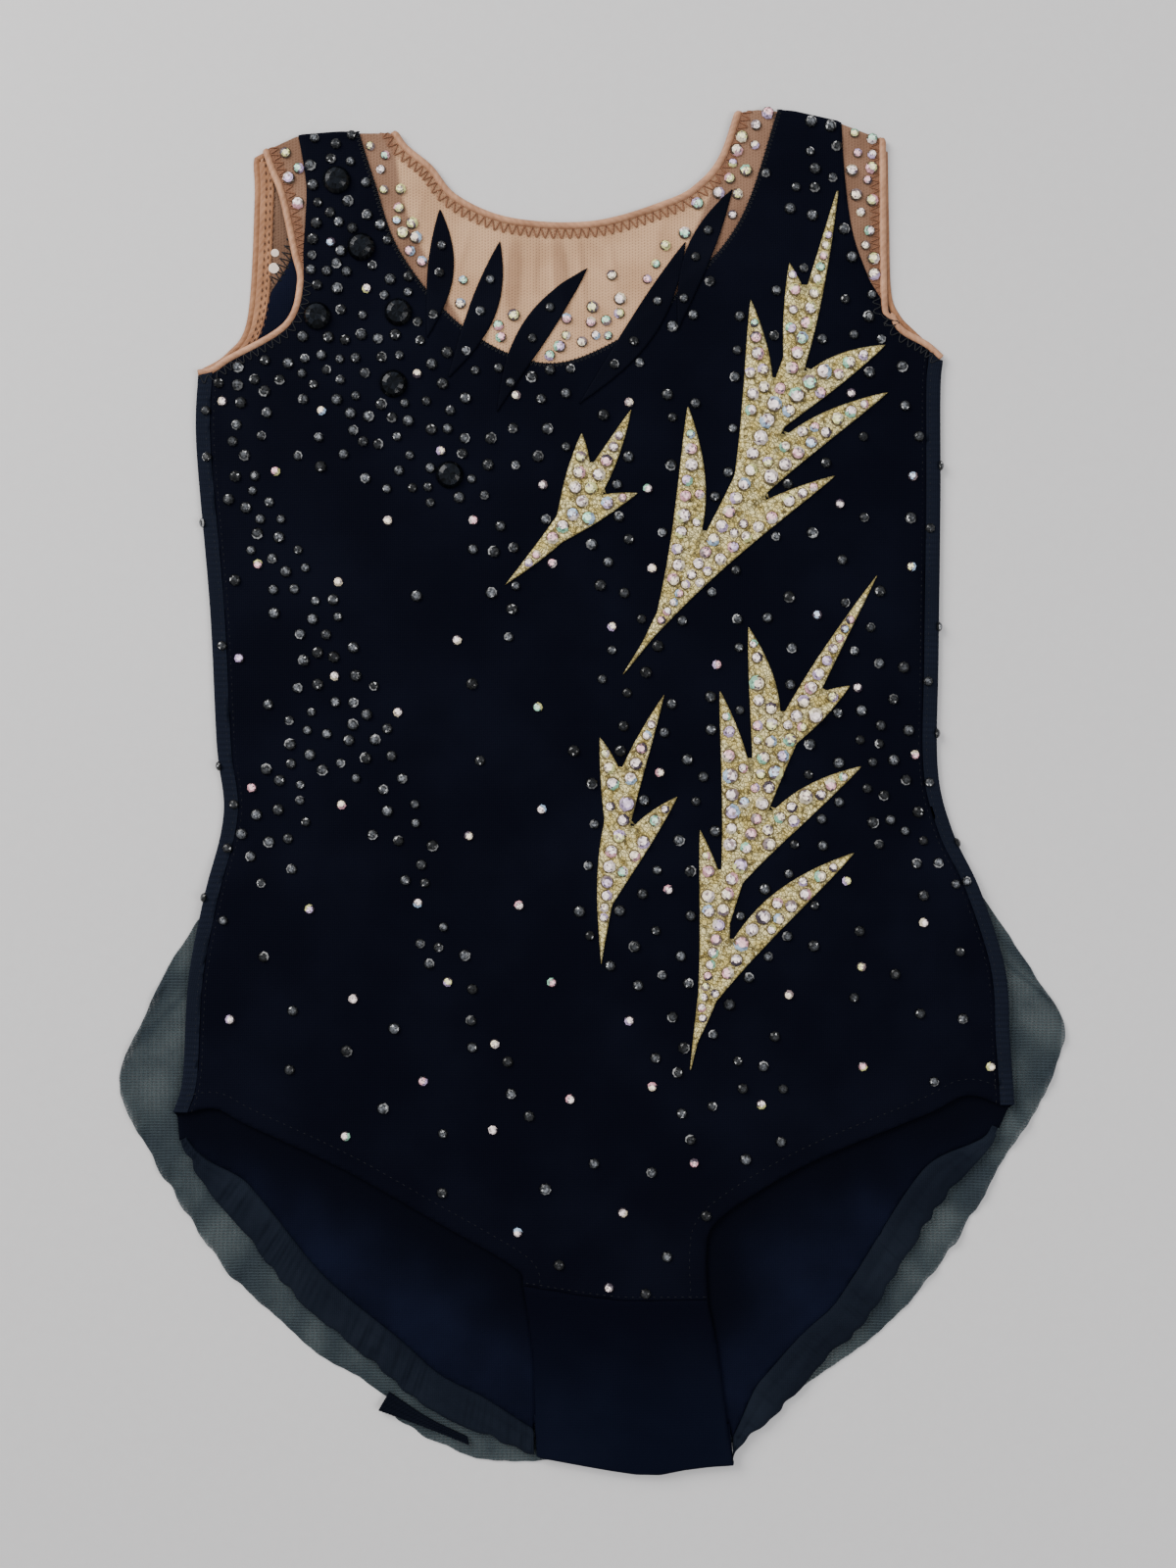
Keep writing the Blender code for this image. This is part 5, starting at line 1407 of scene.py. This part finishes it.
sprays, gold_leaves = [], []
for stem in GOLD_SPRAYS:
    leaves = spray_leaves(stem)
    gold_leaves += leaves
    loops = [leaf_outline(leaf) for leaf in leaves]

    def from_edge(x, y):
        """Distance from the spray's edge, in millimetres up to 1."""
        points = np.column_stack([x, y])
        away = [np.where(inside(points, loop), nearest_on(points, closed(loop))[1], 0) for loop in loops]
        return np.clip(np.max(away, axis=0), 0, 1)

    sprays.append(panel(stem.name + "_lace", grid_round(loops, 2, 0.9), loops, lay_on_front, TRIM_UNDER,
                        TRIM_UNDER + TRIM_WALL, GOLD_LACE, [stem.name], edge=from_edge))

POINT_WALL = 0.55
point_pieces = []
for number, leaf in enumerate(YOKE_LEAVES, start=1):
    loop, node = leaf_outline(leaf), f"yoke_leaf_{number}"
    point_pieces.append(panel(node + "_cloth", grid_round([loop], 1, 0.6), [loop], lay_point, 0.0,
                              POINT_WALL, POINT_CLOTH, [node]))


# Stones

# Profiles of a stone of radius 1: how far out and how high each ring of its corners is
CUT_STONE = ((0.92, 0.0), (1.0, 0.14), (0.78, 0.42), (0.46, 0.58))
FLAT_BACK = ((0.96, 0.0), (1.0, 0.08), (0.97, 0.15), (0.88, 0.18))
SMALL_RADIUS = 1.8                # stones on the leaf points and at the sides
UNEVEN = 0.045                    # how far stones lean at random


def gem(sides, profile):
    """A round stone of radius 1: four rings of corners from its back to its table, the third turned."""
    turn = np.arange(sides) * 2 * pi / sides
    half = turn + pi / sides
    rings = [(r, z, half if level == 2 else turn) for level, (r, z) in enumerate(profile)]
    points = [np.column_stack([r * np.cos(a), r * np.sin(a), np.full(sides, z)]) for r, z, a in rings]
    points = np.vstack(points + [[[0, 0, 0.0]], [[0, 0, profile[-1][1]]]])
    one = np.arange(sides)
    after = (one + 1) % sides
    girdle = np.column_stack([one, after, after + sides, one + sides])
    lower = np.vstack([np.column_stack([one + sides, after + sides, one + 2 * sides]),
                       np.column_stack([one + 2 * sides, after + sides, after + 2 * sides])])
    upper = np.vstack([np.column_stack([one + 2 * sides, after + 3 * sides, one + 3 * sides]),
                       np.column_stack([one + 2 * sides, after + 2 * sides, after + 3 * sides])])
    table = np.column_stack([one + 3 * sides, after + 3 * sides, np.full(sides, 4 * sides + 1)])
    back = np.column_stack([after, one, np.full(sides, 4 * sides)])
    return points, girdle, np.vstack([lower, upper, table, back])


def stand_on(places, lay, out, chance):
    """Where stones stand and which way they face: the laid surface's own slope, turned at random."""
    x, y = places.T
    reach = 0.5
    here = lay(x, y, out)
    east = lay(x + reach, y, out) - lay(x - reach, y, out)
    north = lay(x, y + reach, out) - lay(x, y - reach, out)
    face = unit(np.cross(east, north))
    face = unit(face + chance.normal(0.0, UNEVEN, face.shape))
    turn = chance.uniform(0, 2 * pi, len(places))[:, None]
    flat = unit(np.cross(face, np.cross(east, face)))
    ahead = flat * np.cos(turn) + np.cross(face, flat) * np.sin(turn)
    return here, ahead, np.cross(face, ahead), face


def stones(name, places, radius, lay, out, tints, finish, seed, hides=(), sides=8, profile=CUT_STONE):
    """Many copies of one cut stone as a single mesh; tints gives each facet its colour."""
    chance = np.random.default_rng(seed)
    shape, quads, triangles = gem(sides, profile)
    here, ahead, beside, face = stand_on(places, lay, out, chance)
    size = np.broadcast_to(radius, len(places))[:, None, None]
    x, y, z = shape.T[..., None]
    points = here[:, None] + size * (x * ahead[:, None] + y * beside[:, None] + z * face[:, None])
    start = (np.arange(len(places)) * len(shape))[:, None, None]
    faces = [(quads[None] + start).reshape(-1, 4), (triangles[None] + start).reshape(-1, 3)]
    girdle, lower, upper, table = tints(chance, len(places), sides)
    crown = np.concatenate([lower, upper, table, girdle], axis=1)
    facets = np.vstack([girdle.reshape(-1, 3), crown.reshape(-1, 3)])
    return add_piece(name, points.reshape(-1, 3), faces, finish, hides, smooth=False, facets=facets)


def shades(chance, count, facets, low, high, tint):
    """Random shades of one tint, one for each facet of each stone."""
    return chance.uniform(low, high, (count, facets, 1)) * np.array(tint)


COOL = (0.93, 0.98, 1.08)
WINDOW_ARC = 0.38                        # painted reflection: the bright crescent of the window that some stones show beside their rim


def on_one_side(sides, width):
    """Which facets of a crown lie in one run beside each other."""
    return np.isin(np.arange(2 * sides) % sides, range(width))[None, :, None]


def grey_tints(chance, count, sides):
    """Grey glass: near-black rim, an uneven crown and a paler table in painted reflections of the room, a
    painted bright crescent of the window on some, and painted glints on a few facets.
    """
    reflection_strength = chance.uniform(0.2, 1.0, (count, 1, 1)) ** 1.7 * 1.05
    girdle = shades(chance, count, sides, 0.001, 0.004, COOL)
    lower = shades(chance, count, 2 * sides, 0.001, 0.012, COOL)
    upper = shades(chance, count, 2 * sides, 0.003, 0.10, COOL) * reflection_strength
    table = shades(chance, count, sides, 0.015, 0.26, COOL) * reflection_strength
    lit = chance.uniform(size=(count, 1, 1)) < 0.36
    arc = WINDOW_ARC * chance.uniform(0.25, 1.0, (count, 1, 1))
    lower = np.where(on_one_side(sides, 3) & lit, arc, lower)
    # Painted glints: a few crown facets drawn bright.
    glint = chance.uniform(size=(count, 2 * sides, 1)) < 0.035
    return girdle, lower, np.where(glint, 0.60, upper), table


def black_tints(chance, count, sides):
    """Black glass with faint blue facets."""
    blue = (0.75, 0.95, 1.35)
    return (shades(chance, count, sides, 0.0006, 0.0015, blue),
            shades(chance, count, 2 * sides, 0.0008, 0.003, blue),
            shades(chance, count, 2 * sides, 0.001, 0.012, blue),
            shades(chance, count, sides, 0.002, 0.009, blue))


def foil_tints(chance, count, sides):
    """Plain pale facets: the foil's own material gives its look."""
    return [shades(chance, count, facets, 0.6, 0.7, COOL) for facets in (sides, 2 * sides, 2 * sides, sides)]


# What a rainbow coat shows: pinkish white, pink, green, yellow, blue, violet, cream, dusk and dark
RAINBOW = np.array([(0.90, 0.76, 0.72), (0.84, 0.42, 0.48), (0.34, 0.72, 0.50), (0.82, 0.80, 0.32),
                    (0.44, 0.60, 0.80), (0.62, 0.46, 0.72), (0.90, 0.77, 0.56), (0.30, 0.22, 0.22),
                    (0.07, 0.05, 0.07)])
BRIGHT = 7                        # how many of these colours are bright


def rainbow_tints(weights, rim):
    """Clear glass with a rainbow coat: each stone leans to one colour and shows another on one side."""
    share = np.array(weights, dtype=float) / sum(weights)

    def tints(chance, count, sides):
        main = RAINBOW[chance.choice(BRIGHT, (count, 1), p=share)]
        other = RAINBOW[chance.choice(len(RAINBOW), (count, 1))]
        wedge = on_one_side(sides, 3)
        girdle = shades(chance, count, sides, 0.4, 0.9, rim)
        lower = shades(chance, count, 2 * sides, 0.5, 1.7, rim)
        lower = np.where(wedge, other * chance.uniform(0.5, 0.9, (count, 2 * sides, 1)), lower)
        upper = np.where(wedge, 0.75 * other, main) * chance.uniform(0.35, 1.25, (count, 2 * sides, 1))
        dark = chance.uniform(size=(count, 2 * sides, 1)) < 0.14
        upper = np.where(dark, RAINBOW[-1] * 1.5, upper)
        table = (0.85 * main + 0.40 * RAINBOW[0]) * chance.uniform(0.7, 1.25, (count, sides, 1))
        dark = chance.uniform(size=(count, sides, 1)) < 0.12
        return girdle, lower, upper, np.where(dark, RAINBOW[-2], table)

    return tints


ON_GOLD = rainbow_tints((6.0, 1.8, 0.5, 0.7, 0.3, 1.0, 2.0), (0.12, 0.09, 0.045))
ON_SKIN = rainbow_tints((2.4, 1.5, 2.3, 2.8, 0.4, 0.5, 2.2), (0.060, 0.042, 0.030))
PINKISH = rainbow_tints((3.0, 2.6, 0.3, 1.2, 0.2, 0.6, 2.4), (0.020, 0.015, 0.018))


def settle(tried, spacing, least, found, chance):
    """Take the tried spots that keep their distance from all found before them, and add them there."""
    fresh = []
    for spot in tried:
        room = spacing * chance.uniform(0.85, 1.35)
        if found and np.hypot(*(np.array(found) - spot).T).min() < max(room, least):
            continue
        found.append(tuple(spot))
        fresh.append(spot)
    return fresh


def throw(drifts, allowed, taken, radius, chance):
    """Spots thrown at random along wide strokes, each no closer to another than its spacing."""
    found = [tuple(spot) for spot in taken]
    fresh = []
    for drift in drifts:
        start, run, side = stroke(drift)
        length = np.hypot(*run)
        tries = int(14 * (length + drift.half_width) * 2 * drift.half_width / drift.spacing ** 2) + 20
        share = chance.uniform(-drift.half_width / length, 1 + drift.half_width / length, tries)
        off = chance.normal(0.0, 0.55, tries) * drift.half_width
        tried = start + share[:, None] * run + off[:, None] * side
        fresh += settle(tried[allowed(tried)], drift.spacing, 2.15 * radius, found, chance)
    return np.array(fresh)


gold_loops = [closed(leaf_outline(leaf)) for leaf in gold_leaves]
point_loops = [closed(leaf_outline(leaf)) for leaf in YOKE_LEAVES]


def clear_of(points, loops, gap):
    """Which points are outside every outline by more than a gap."""
    free = np.ones(len(points), dtype=bool)
    for loop in loops:
        low, high = loop.min(axis=0) - gap, loop.max(axis=0) + gap
        near = np.flatnonzero(np.all((points > low) & (points < high), axis=1) & free)
        if len(near):
            _, away = nearest_on(points[near], loop)
            free[near] = (away > gap) & ~inside(points[near], loop[:-1])
    return free


def well_inside(points, loop, gap):
    return inside(points, loop) & (away_from(*points.T, closed(loop)) > gap)


GREY_RADIUS = 2.0
EDGE_SPACING = 10.0               # grey stones beside the gold


def on_black(points):
    free = clear_of(points, gold_loops, GREY_RADIUS + 0.3) & clear_of(points, point_loops, GREY_RADIUS)
    for spot in LARGE_STONES:
        free &= np.hypot(*(points - spot).T) > LARGE_RADIUS + GREY_RADIUS + 0.5
    below_fold = points[:, 1] < shoulder_fold(points[:, 0]) - FOLD_OUT + 0.9
    return free & below_fold & well_inside(points, body_loop, GREY_RADIUS + 0.2)


GREY_DRIFTS = every(Drift, (-96, 237, -94, 196, 12, 5.2), (-92, 198, -78, 150, 24, 6),
                    (-78, 170, -58, 118, 15, 6.2), (-132, 146, -98, 150, 7, 6),
                    (-104, 150, -84, 128, 12, 7.5), (-60, 160, -12, 148, 6, 7.2),
                    (-131, 143, -128, 112, 7, 6), (-128, 112, -114, 80, 7.5, 6.2),
                    (-114, 80, -98, 54, 8, 6.2), (-98, 54, -82, 16, 8, 6.4), (-82, 16, -66, -26, 7, 7),
                    (-66, -26, -52, -62, 6.5, 7.6), (-52, -62, -34, -98, 6, 8.4),
                    (-34, -98, -28, -118, 5, 10), (-106, 34, -92, 8, 8, 7), (-130, -12, -104, 10, 9, 6.4),
                    (-122, -26, -108, -8, 8, 7.6), (-50, 132, -38, 92, 8, 7.6), (-38, 92, -28, 62, 6, 8.4),
                    (-40, 150, -24, 124, 8, 8.6), (20, 166, 40, 184, 5, 7.2), (-4, 150, 30, 140, 9, 9),
                    (84, 238, 82, 214, 8, 6.6), (96, 204, 102, 168, 5, 7.4), (112, 158, 120, 128, 6, 9),
                    (36, 200, 60, 222, 6, 7.4), (104, 12, 124, -22, 10, 6.8), (96, 30, 112, 8, 8, 7.6),
                    (110, -8, 128, -34, 7, 8), (0, 118, 14, 40, 8, 9), (14, 36, 22, -52, 7, 8.6),
                    (22, -52, 32, -116, 8, 9.4), (46, -84, 60, -110, 8, 9.4), (60, 130, 92, 96, 12, 9.6),
                    (64, 60, 110, 44, 12, 10), (70, -20, 96, -64, 12, 9.8), (36, 6, 48, -44, 8, 9),
                    (38, -120, 36, -136, 5, 8), (56, -122, 66, -136, 7, 12), (-10, -178, 20, -176, 12, 14),
                    (-20, -130, 24, -160, 16, 17), (-120, -60, -80, -84, 26, 19),
                    (-70, -110, -30, -130, 20, 17), (96, -66, 134, -84, 22, 17),
                    (-112, 118, -104, 60, 14, 16), (-60, 100, -40, -20, 34, 19),
                    (100, 140, 118, 20, 14, 15), (-20, 30, 0, -80, 22, 21), (-130, 80, -124, 0, 8, 16))
PINK_DRIFTS = every(Drift, (-100, 150, -60, -140, 60, 30), (-20, 120, 0, -160, 45, 27),
                    (90, 120, 110, -100, 36, 30), (-84, 190, -30, 150, 22, 24))

chance = np.random.default_rng(20)
PINK_RADIUS = 1.85
pink_spots = throw(PINK_DRIFTS, on_black, [], PINK_RADIUS, chance)
grey_spots = throw(GREY_DRIFTS, on_black, pink_spots, GREY_RADIUS, chance)
beside_gold = chance.permutation(np.vstack([sideways(loop, 3.3) for loop in gold_loops]))
taken = [tuple(spot) for spot in np.vstack([pink_spots, grey_spots])]
edge_spots = settle(beside_gold[on_black(beside_gold)], EDGE_SPACING, 2.3 * GREY_RADIUS, taken, chance)
grey_spots = np.vstack([grey_spots, edge_spots])
grey_stones = stones("grey_stones", grey_spots, chance.choice([1.8, 2.0, 2.2], len(grey_spots)), lay_front,
                     CLOTH + 0.02, grey_tints, GREY_GLASS, 31)
pink_stones = stones("pinkish_stones", pink_spots, PINK_RADIUS, lay_front, CLOTH + 0.02, PINKISH,
                     CLEAR_GLASS, 32)
large_stones = stones("large_stones", np.array(LARGE_STONES), LARGE_RADIUS, lay_on_front, TRIM_UNDER,
                      black_tints, BLACK_GLASS, 33,
                      [f"large_stone_{n}" for n in range(1, 7)], sides=16)


def gold_spots(chance):
    """Stones along each gold leaf in one or two staggered rows, then small ones in what is left."""
    spots_found, sizes = [], []

    def place(spot, radius, gap):
        if spots_found:
            away = np.hypot(*(np.array(spots_found) - spot).T)
            if np.any(away < np.array(sizes) + radius + gap):
                return
        spots_found.append(tuple(spot))
        sizes.append(radius)

    for leaf in gold_leaves:
        _, run, side = stroke(leaf)
        t, turn = 0.05, 1
        while t < 0.93:
            half = half_width(leaf, t)
            if half > 4.6:
                radius, off = chance.choice([2.3, 2.5, 2.7, 3.1]), turn * half * 0.38
            else:
                radius, off = min(2.6, max(1.75, half * 0.72)), 0.0
            if half > 1.7:
                place(spine(leaf, t) + side * off, radius, 0.12)
            turn = -turn
            t += (1.18 * radius if off else 2.2 * radius) / np.hypot(*run)
    low, high = np.vstack(gold_loops).min(axis=0), np.vstack(gold_loops).max(axis=0)
    tried = chance.uniform(low, high, (9000, 2))
    fits = np.zeros(len(tried), dtype=bool)
    for loop in gold_loops:
        within = np.flatnonzero(inside(tried, loop[:-1]))
        _, away = nearest_on(tried[within], loop)
        fits[within[away > 2.0]] = True
    for spot in tried[fits]:
        place(spot, chance.choice([1.95, 2.2]), 0.10)
    return np.array(spots_found), np.array(sizes)


gold_stone_spots, gold_stone_sizes = gold_spots(chance)
gold_stones = stones("gold_spray_stones", gold_stone_spots, gold_stone_sizes, lay_on_front,
                     TRIM_UNDER + TRIM_WALL, ON_GOLD, CLEAR_GLASS, 34)

SKIN_RADIUS = 2.05


def on_yoke_rim(points):
    away = away_from(*points.T, yoke_edge)
    keep = chance.uniform(size=len(points)) < np.exp(-np.maximum(away - 6.0, 0) / 4.2)
    free = clear_of(points, point_loops, SKIN_RADIUS) & (points[:, 1] < shoulder_fold(points[:, 0]) - 1.0)
    return free & keep & well_inside(points, yoke_shown, SKIN_RADIUS + 0.3)


strap_loops = [strap_outline(band, sideways(edge, way * BINDING_WIDTH)[:stop + 1], front_end)
               for band, edge, stop, way in ((band_left, arm_left, meet_left, 1),
                                             (band_right, arm_right, meet_right, -1))]


def on_straps(points):
    low = points[:, 1] < shoulder_fold(points[:, 0]) - 1.0
    return low & np.any([well_inside(points, loop, SKIN_RADIUS) for loop in strap_loops], axis=0)


SKIN_DRIFTS = every(Drift, (-84, 236, -72, 196, 9, 4.9), (-72, 196, -44, 168, 13, 4.8),
                    (-44, 172, 8, 164, 15, 5), (8, 170, 50, 208, 17, 4.7), (50, 208, 64, 246, 12, 4.7))
STRAP_DRIFTS = every(Drift, (-112, 234, -107, 200, 6, 5.2), (98, 240, 103, 188, 7, 4.9))
skin_spots = throw(SKIN_DRIFTS, on_yoke_rim, [], SKIN_RADIUS, chance)
strap_spots = throw(STRAP_DRIFTS, on_straps, [], SKIN_RADIUS, chance)
skin_spots = np.vstack([skin_spots, strap_spots])
skin_stones = stones("yoke_stones", skin_spots, chance.choice([1.8, 2.1, 2.4], len(skin_spots)), lay_front,
                     MESH_TOP + 0.03, ON_SKIN, CLEAR_GLASS, 35)


def point_spots():
    """Two or three stones along the spine of each leaf point."""
    found = []
    for leaf in YOKE_LEAVES:
        _, _, side = stroke(leaf)
        for t in np.array([0.22, 0.46, 0.70]) + chance.uniform(-0.05, 0.05, 3):
            found.append(spine(leaf, t) + side * chance.uniform(-0.8, 0.8))
    return np.array(found)


point_stones = stones("leaf_point_stones", point_spots(), SMALL_RADIUS, lay_point, POINT_WALL + 0.02,
                      grey_tints, GREY_GLASS, 36)


def lay_side(around, y, out):
    """Round the outside of a side fold, from its lowest line: above 0 on the left, under 0 on the right."""
    turn = np.clip(np.abs(around) / FOLD_OUT, 0, pi)
    beyond = np.maximum(np.abs(around) - pi * FOLD_OUT, 0)
    reach = (FOLD_OUT + out) * np.sin(turn) - beyond
    x = np.where(around > 0, side_left(y) + FOLD_OUT - reach, side_right(y) - FOLD_OUT + reach)
    return np.stack([x, y, lift(y) + FOLD_OUT - (FOLD_OUT + out) * np.cos(turn)], axis=-1)


ON_FOLD, ON_FLANGE = 2.9, pi * FOLD_OUT + 2.7
SIDE_SPOTS = spots((ON_FOLD, 97), (ON_FLANGE, 138), (ON_FLANGE, 121), (ON_FLANGE, 52), (ON_FOLD, 8),
                   (ON_FLANGE, -6), (ON_FLANGE, -22), (ON_FOLD, -40), (-ON_FOLD, 118), (-ON_FLANGE, 95),
                   (-ON_FOLD, 59), (-ON_FLANGE, 39), (-ON_FOLD, 20), (-ON_FLANGE, 2), (-ON_FOLD, -20),
                   (-ON_FLANGE, -34))
side_stones = stones("side_stones", np.array(SIDE_SPOTS), SMALL_RADIUS, lay_side, 0.02, grey_tints,
                     GREY_GLASS, 37)

# Two stones are set from the other side in the back's outer strap, so their foil backs show
FOIL_SPOTS = spots((-116.6, 196.2), (-117, 190.6))
foil_backs = stones("stone_backs", np.array(FOIL_SPOTS), np.array([1.5, 2.0]), lay_back, 0.72, foil_tints,
                    FOIL_BACK, 38, profile=FLAT_BACK)


# Sewing

def lay_seam(x, y, out):
    """On the flanges and the front's edges beside them, which lie level."""
    return lay_flat(x, y, FRONT_LEVEL + out)


def sewing(name, finish, parts):
    return add_piece(name, *join(parts), finish)


PITCH = 2.9                       # of the zigzags beside the bindings


def zigzags(lines, reach, lay, out, radius, slant=0.0, near=0.1):
    """Zigzags beside bindings, each on one side of its line; reach is how far they go from the binding."""
    return [zigzag(line, way, BINDING_WIDTH + near, BINDING_WIDTH + reach, PITCH, lay, out, radius, slant)
            for line, way in lines]


def rows(line, offsets, lay, out, stitch, gap, radius):
    """Rows of straight stitches beside a line."""
    return [running(sideways(line, off), lay, out, stitch, gap, radius) for off in offsets]


strap_edges = ((arm_left[:meet_left + 1], 1), (arm_right[:meet_right + 1], -1))
side_edges = ((arm_left[meet_left:], 1), (arm_right[meet_right:], -1))
brown_sewing = sewing("brown_zigzag", BROWN_THREAD,
                      zigzags([(neck, -1)], 3.5, lay_front, MESH_TOP + 0.16, 0.24, 0.1)
                      + zigzags(strap_edges, 3.3, lay_front, MESH_TOP + 0.16, 0.24, 0.1)
                      + zigzags([(back_neck, -1)], 3.2, lay_flat, 0.82, 0.22, 0.1, 0.2))
facing_sewing = sewing("facing_stitches", DARK_THREAD, [
    running(across_facing(facing_line, share), lay_flat, FACING_UNDER + over, stitch, gap, radius)
    for share, over, stitch, gap, radius in (
        (FACING_GROOVE - 0.14, 0.54, 1.9, 0.9, 0.32), (FACING_GROOVE + 0.14, 0.48, 1.7, 1.1, 0.32),
        (1.03, 0.18, 2.8, 0.1, 0.34))])
skin_sewing = sewing("skin_stitches", SKIN_THREAD,
                     rows(neck, (-0.55,), lay_front, 0.95, 1.7, 0.5, 0.13)
                     + rows(arm_left, (0.55,), lay_front, 0.95, 1.7, 0.5, 0.13)
                     + rows(arm_right, (-0.55,), lay_front, 0.95, 1.7, 0.5, 0.13)
                     + rows(back_band_left[:-6], (3.2, 7.4), lay_flat, 0.80, 1.8, 0.6, 0.16))
black_sewing = sewing("black_stitches", BLACK_THREAD,
                      rows(leg_left, (6.0,), lay_front, CLOTH + 0.06, 2.0, 0.7, 0.15)
                      + rows(leg_right, (-6.0,), lay_front, CLOTH + 0.06, 2.0, 0.7, 0.15)
                      + [zigzag(yoke_edge, -1, -0.3, 1.5, 1.5, lay_front, CLOTH + 0.04, 0.13),
                         zigzag(back_band_left[:-3], 1, -3.4, 0.6, 2.7, lay_flat, 0.90, 0.20, 0.22)]
                      + zigzags(side_edges, 3.0, lay_front, CLOTH + 0.1, 0.22, near=0.2)
                      + rows(seam_left, (1.4, -1.4), lay_seam, CLOTH + 0.05, 1.9, 0.6, 0.15)
                      + rows(seam_right, (1.4, -1.4), lay_seam, CLOTH + 0.05, 1.9, 0.6, 0.15)
                      + rows(gusset_seam, (1.3,), lay_front, CLOTH + 0.06, 1.9, 0.6, 0.15))


# Floor, light and camera

def table():
    """The pale table, a level sheet just under the leotard."""
    points = np.array([[-4000.0, -4000.0, -0.05], [4000.0, -4000.0, -0.05], [4000.0, 4000.0, -0.05],
                       [-4000.0, 4000.0, -0.05]]) / METRE
    mesh = bpy.data.meshes.new("table")
    mesh.from_pydata(points.tolist(), [], [(0, 1, 2, 3)])
    mesh.materials.append(table_top("table_top"))
    top = bpy.data.objects.new("table", mesh)
    bpy.context.scene.collection.objects.link(top)


def panel_light(name, place, aim, size, power, colour=(1.0, 1.0, 1.0)):
    light = bpy.data.lights.new(name, "AREA")
    light.shape = "RECTANGLE"
    light.size, light.size_y = size
    light.energy = power
    light.color = colour
    lamp = bpy.data.objects.new(name, light)
    lamp.location = place
    lamp.rotation_euler = (Vector(aim) - Vector(place)).to_track_quat("-Z", "Y").to_euler()
    bpy.context.scene.collection.objects.link(lamp)


table()
world = bpy.data.worlds.new("studio")
world.use_nodes = True
backdrop = world.node_tree.nodes["Background"]
backdrop.inputs["Color"].default_value = (0.93, 0.96, 1.0, 1.0)
backdrop.inputs["Strength"].default_value = 0.52
bpy.context.scene.world = world
panel_light("window", (-1.15, 1.05, 1.0), (0.0, 0.0, 0.0), (1.2, 0.9), 44.0, (1.0, 0.99, 0.97))
panel_light("ceiling", (1.3, -0.3, 1.5), (0.0, 0.0, 0.0), (0.8, 0.8), 16.0)
for number, (x, y, z) in enumerate(((0.55, 0.75, 1.0), (-0.75, 0.2, 1.0), (0.3, -0.8, 1.1)), start=1):
    panel_light(f"spark_{number}", (x, y, z), (0.0, 0.0, 0.0), (0.10, 0.10), 1.4)

lens = bpy.data.cameras.new("photo")
lens.sensor_fit = "VERTICAL"
lens.sensor_height = 36.0
lens.lens = 35.0
lens.clip_start = 0.01
PHOTO_HEIGHT = 0.576              # how much of the table the picture takes in, from top to bottom
camera = bpy.data.objects.new("photo", lens)
camera.location = (-0.00134, 0.00264, PHOTO_HEIGHT * lens.lens / lens.sensor_height)
bpy.context.scene.collection.objects.link(camera)
bpy.context.scene.camera = camera


# Sheets of cloth: the size each was cut to, and its flat area

def sheet_area(loop):
    x, y = loop.T
    return abs(np.sum(x * np.roll(y, -1) - np.roll(x, -1) * y)) / 2


def declare(piece, loop, rests_on, with_pieces=(), middle=None):
    """A laid sheet: its cut's bounding rectangle, or a band's length along its middle and mean width."""
    area = sheet_area(loop) / METRE ** 2
    if middle is None:
        width, length = (loop.max(axis=0) - loop.min(axis=0)) / METRE
    else:
        length = lengths(middle)[-1] / METRE
        width = area / length
    list(with_pieces)
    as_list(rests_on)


hem, root = curve(SKIRT_HEM, 3.0), curve(SKIRT_SEAM, 3.0)
declare(front_body, body_loop, ["back_body"],
        [grey_stones, pink_stones, large_stones, gold_stones, point_stones, black_sewing] + sprays
        + point_pieces)
declare(front_yoke, yoke_loop, ["back_yoke"], [neck_roll, skin_stones, brown_sewing, skin_sewing])
declare(gusset, gusset_loop, ["back_body"])
declare(back_body, back_loop, ["skirt"], [side_stones])
declare(back_yoke, back_yoke_loop, [], [back_rolls[0]], middle=sideways(back_neck, -8.0))
STRAP_TRIMS = ([arm_roll_left], [arm_roll_right], [back_rolls[1], facing, facing_sewing, foil_backs],
               [back_rolls[2]])
for strap, loop, below, trims in zip(strap_pieces, strap_cuts, STRAPS_LIE_ON, STRAP_TRIMS):
    declare(strap, loop, below, trims)
for hem_piece, outer, inner in ((hem_left, hem_out_left, hem_in_left),
                                (hem_right, hem_out_right, hem_in_right)):
    declare(hem_piece, ring(outer, inner[::-1]), ["skirt"], middle=outer)
declare(skirt, ring(hem, root[::-1]), [], [strip])
